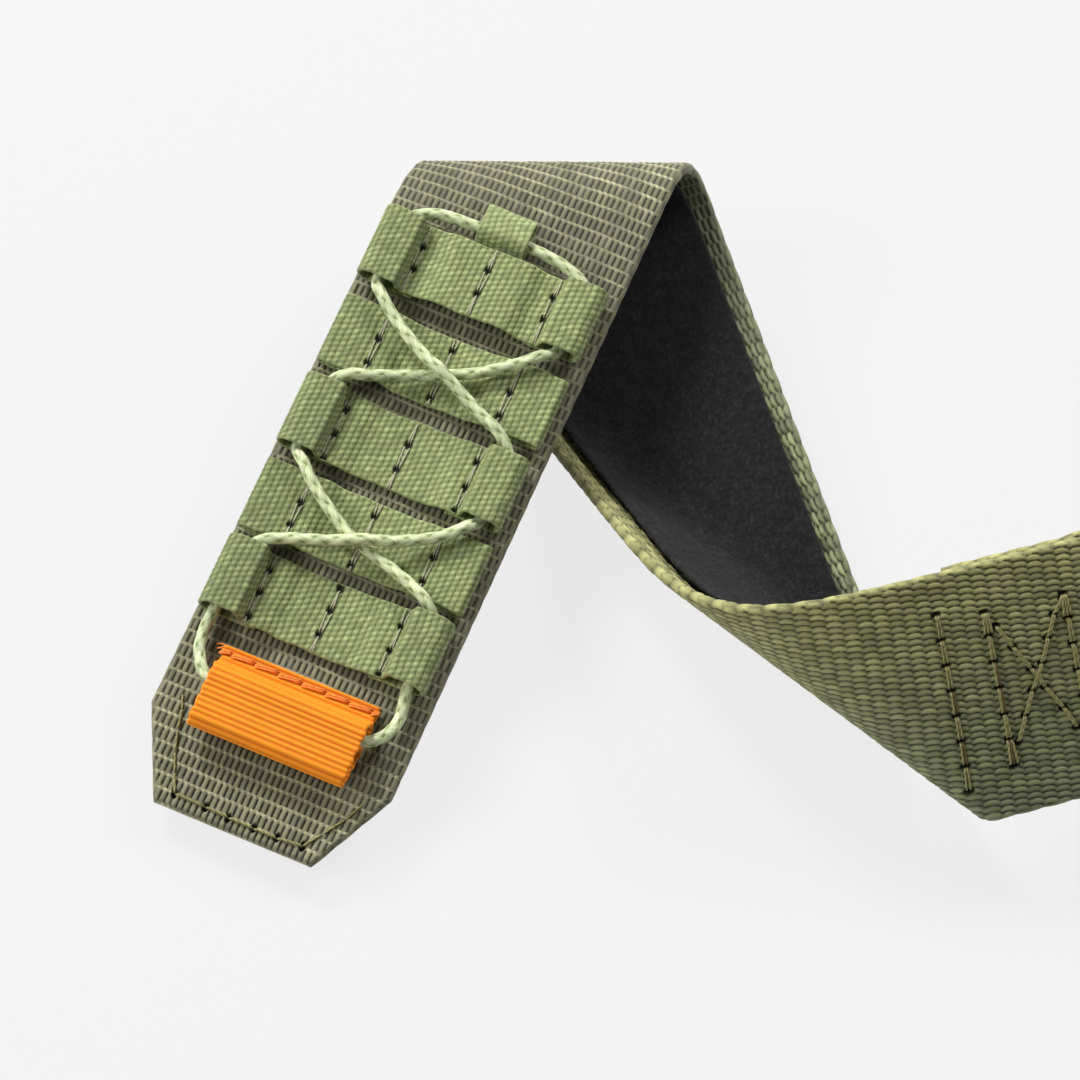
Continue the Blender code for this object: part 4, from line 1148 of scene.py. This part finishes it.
def make_camera():
    data = bpy.data.cameras.new("camera")
    camera = add_object("camera", data)
    data.sensor_width = SENSOR_WIDTH
    data.lens = SENSOR_WIDTH / 2 / math.tan(CAMERA_FIELD / 2)
    place = Matrix.Identity(4)
    for column, way in enumerate(CAMERA_WAYS):
        world_way = ON_TABLE @ np.array(way)
        for row in range(3):
            place[row][column] = world_way[row]
    place.translation = Vector(ON_TABLE @ np.array(CAMERA_PLACE) * MM + SHIFT)
    camera.matrix_world = place
    data.clip_start = 0.02
    data.clip_end = 20.0
    bpy.context.scene.camera = camera


def seen_rays(tree):
    """A socket that is 1 for the rays that the camera sees, directly, mirrored or through."""
    rays = tree.nodes.new("ShaderNodeLightPath")
    total = rays.outputs["Is Camera Ray"]
    for name in ("Is Glossy Ray", "Is Transmission Ray"):
        total = combine(tree, "MAXIMUM", total, rays.outputs[name])
    return total


def choose_seen(tree, plain, seen, output):
    """Gives the seen rays one shader and all other rays a plain one."""
    feeds = {"Fac": seen_rays(tree), 1: plain.outputs[0], 2: seen.outputs[0]}
    choice = add_node(tree, "MixShader", {}, feeds)
    tree.links.new(choice.outputs[0], tree.nodes[output].inputs["Surface"])


def table_look():
    look, tree, shader = new_look("pale_table")
    tree.nodes.remove(shader)
    white, seen_white = ((value, value, value, 1) for value in (TABLE_WHITE, TABLE_SEEN_WHITE))
    plain = add_node(tree, "BsdfDiffuse", {"Color": white}, {})
    seen = add_node(tree, "BsdfDiffuse", {"Color": seen_white}, {})
    lift = add_node(tree, "Emission", {"Color": (1, 1, 1, 1), "Strength": TABLE_LIFT}, {})
    both = add_node(tree, "AddShader", {}, {0: seen.outputs[0], 1: lift.outputs[0]})
    choose_seen(tree, plain, both, "Material Output")
    return look


def make_table():
    mesh = bpy.data.meshes.new("table")
    corners = [(-1, -1), (1, -1), (1, 1), (-1, 1)]
    mesh.from_pydata([(x * TABLE_REACH, y * TABLE_REACH, 0) for x, y in corners], [],
                     [(0, 1, 2, 3)])
    table = add_object("table", mesh)
    table.location.z = TABLE_LEVEL
    mesh.materials.append(table_look())


def make_light(name, azimuth, elevation, size, power):
    data = bpy.data.lights.new(name, "AREA")
    data.shape = "DISK"
    data.size = size
    data.energy = power
    light = add_object(name, data)
    level = math.cos(elevation * DEGREE)
    way = Vector((level * math.cos(azimuth * DEGREE), level * math.sin(azimuth * DEGREE),
                  math.sin(elevation * DEGREE)))
    light.location = Vector((0, 0, 0.01)) + way * LIGHT_DISTANCE
    light.rotation_mode = "QUATERNION"
    light.rotation_quaternion = way.to_track_quat("Z", "Y")


def make_world():
    world = bpy.data.worlds.new("studio")
    bpy.context.scene.world = world
    world.use_nodes = True
    tree = world.node_tree
    plain = tree.nodes["Background"]
    set_inputs(plain, {"Color": (1, 1, 1, 1), "Strength": WORLD_LIGHT})
    paper = add_node(tree, "Background", {"Color": (1, 1, 1, 1), "Strength": PAPER_LIGHT}, {})
    choose_seen(tree, plain, paper, "World Output")


def dress_metal():
    steel = steel_look("turned_steel", (0.62, 0.62, 0.64), 0.28)
    spring = steel_look("spring_steel", (0.5, 0.5, 0.52), 0.35)
    for name in ("bar_tube", "plain_pin", "release_pin", "release_knob", "bar_spring"):
        for slot in frame["nodes"][name].material_slots:
            slot.material = spring if name == "bar_spring" else steel


bpy.context.scene.view_settings.view_transform = "Standard"
make_camera()
make_table()
for light_values in LIGHTS:
    make_light(*light_values)
make_world()
make_webbing()
make_lining()
make_hook_patch()
make_hooks()
for band_index in range(len(BAND_PLACES)):
    make_band(band_index)
make_cord_tab()
make_pull_tab()
make_pull_tab_fray()
make_cord()
make_band_stitches()
make_webbing_stitches()
dress_metal()
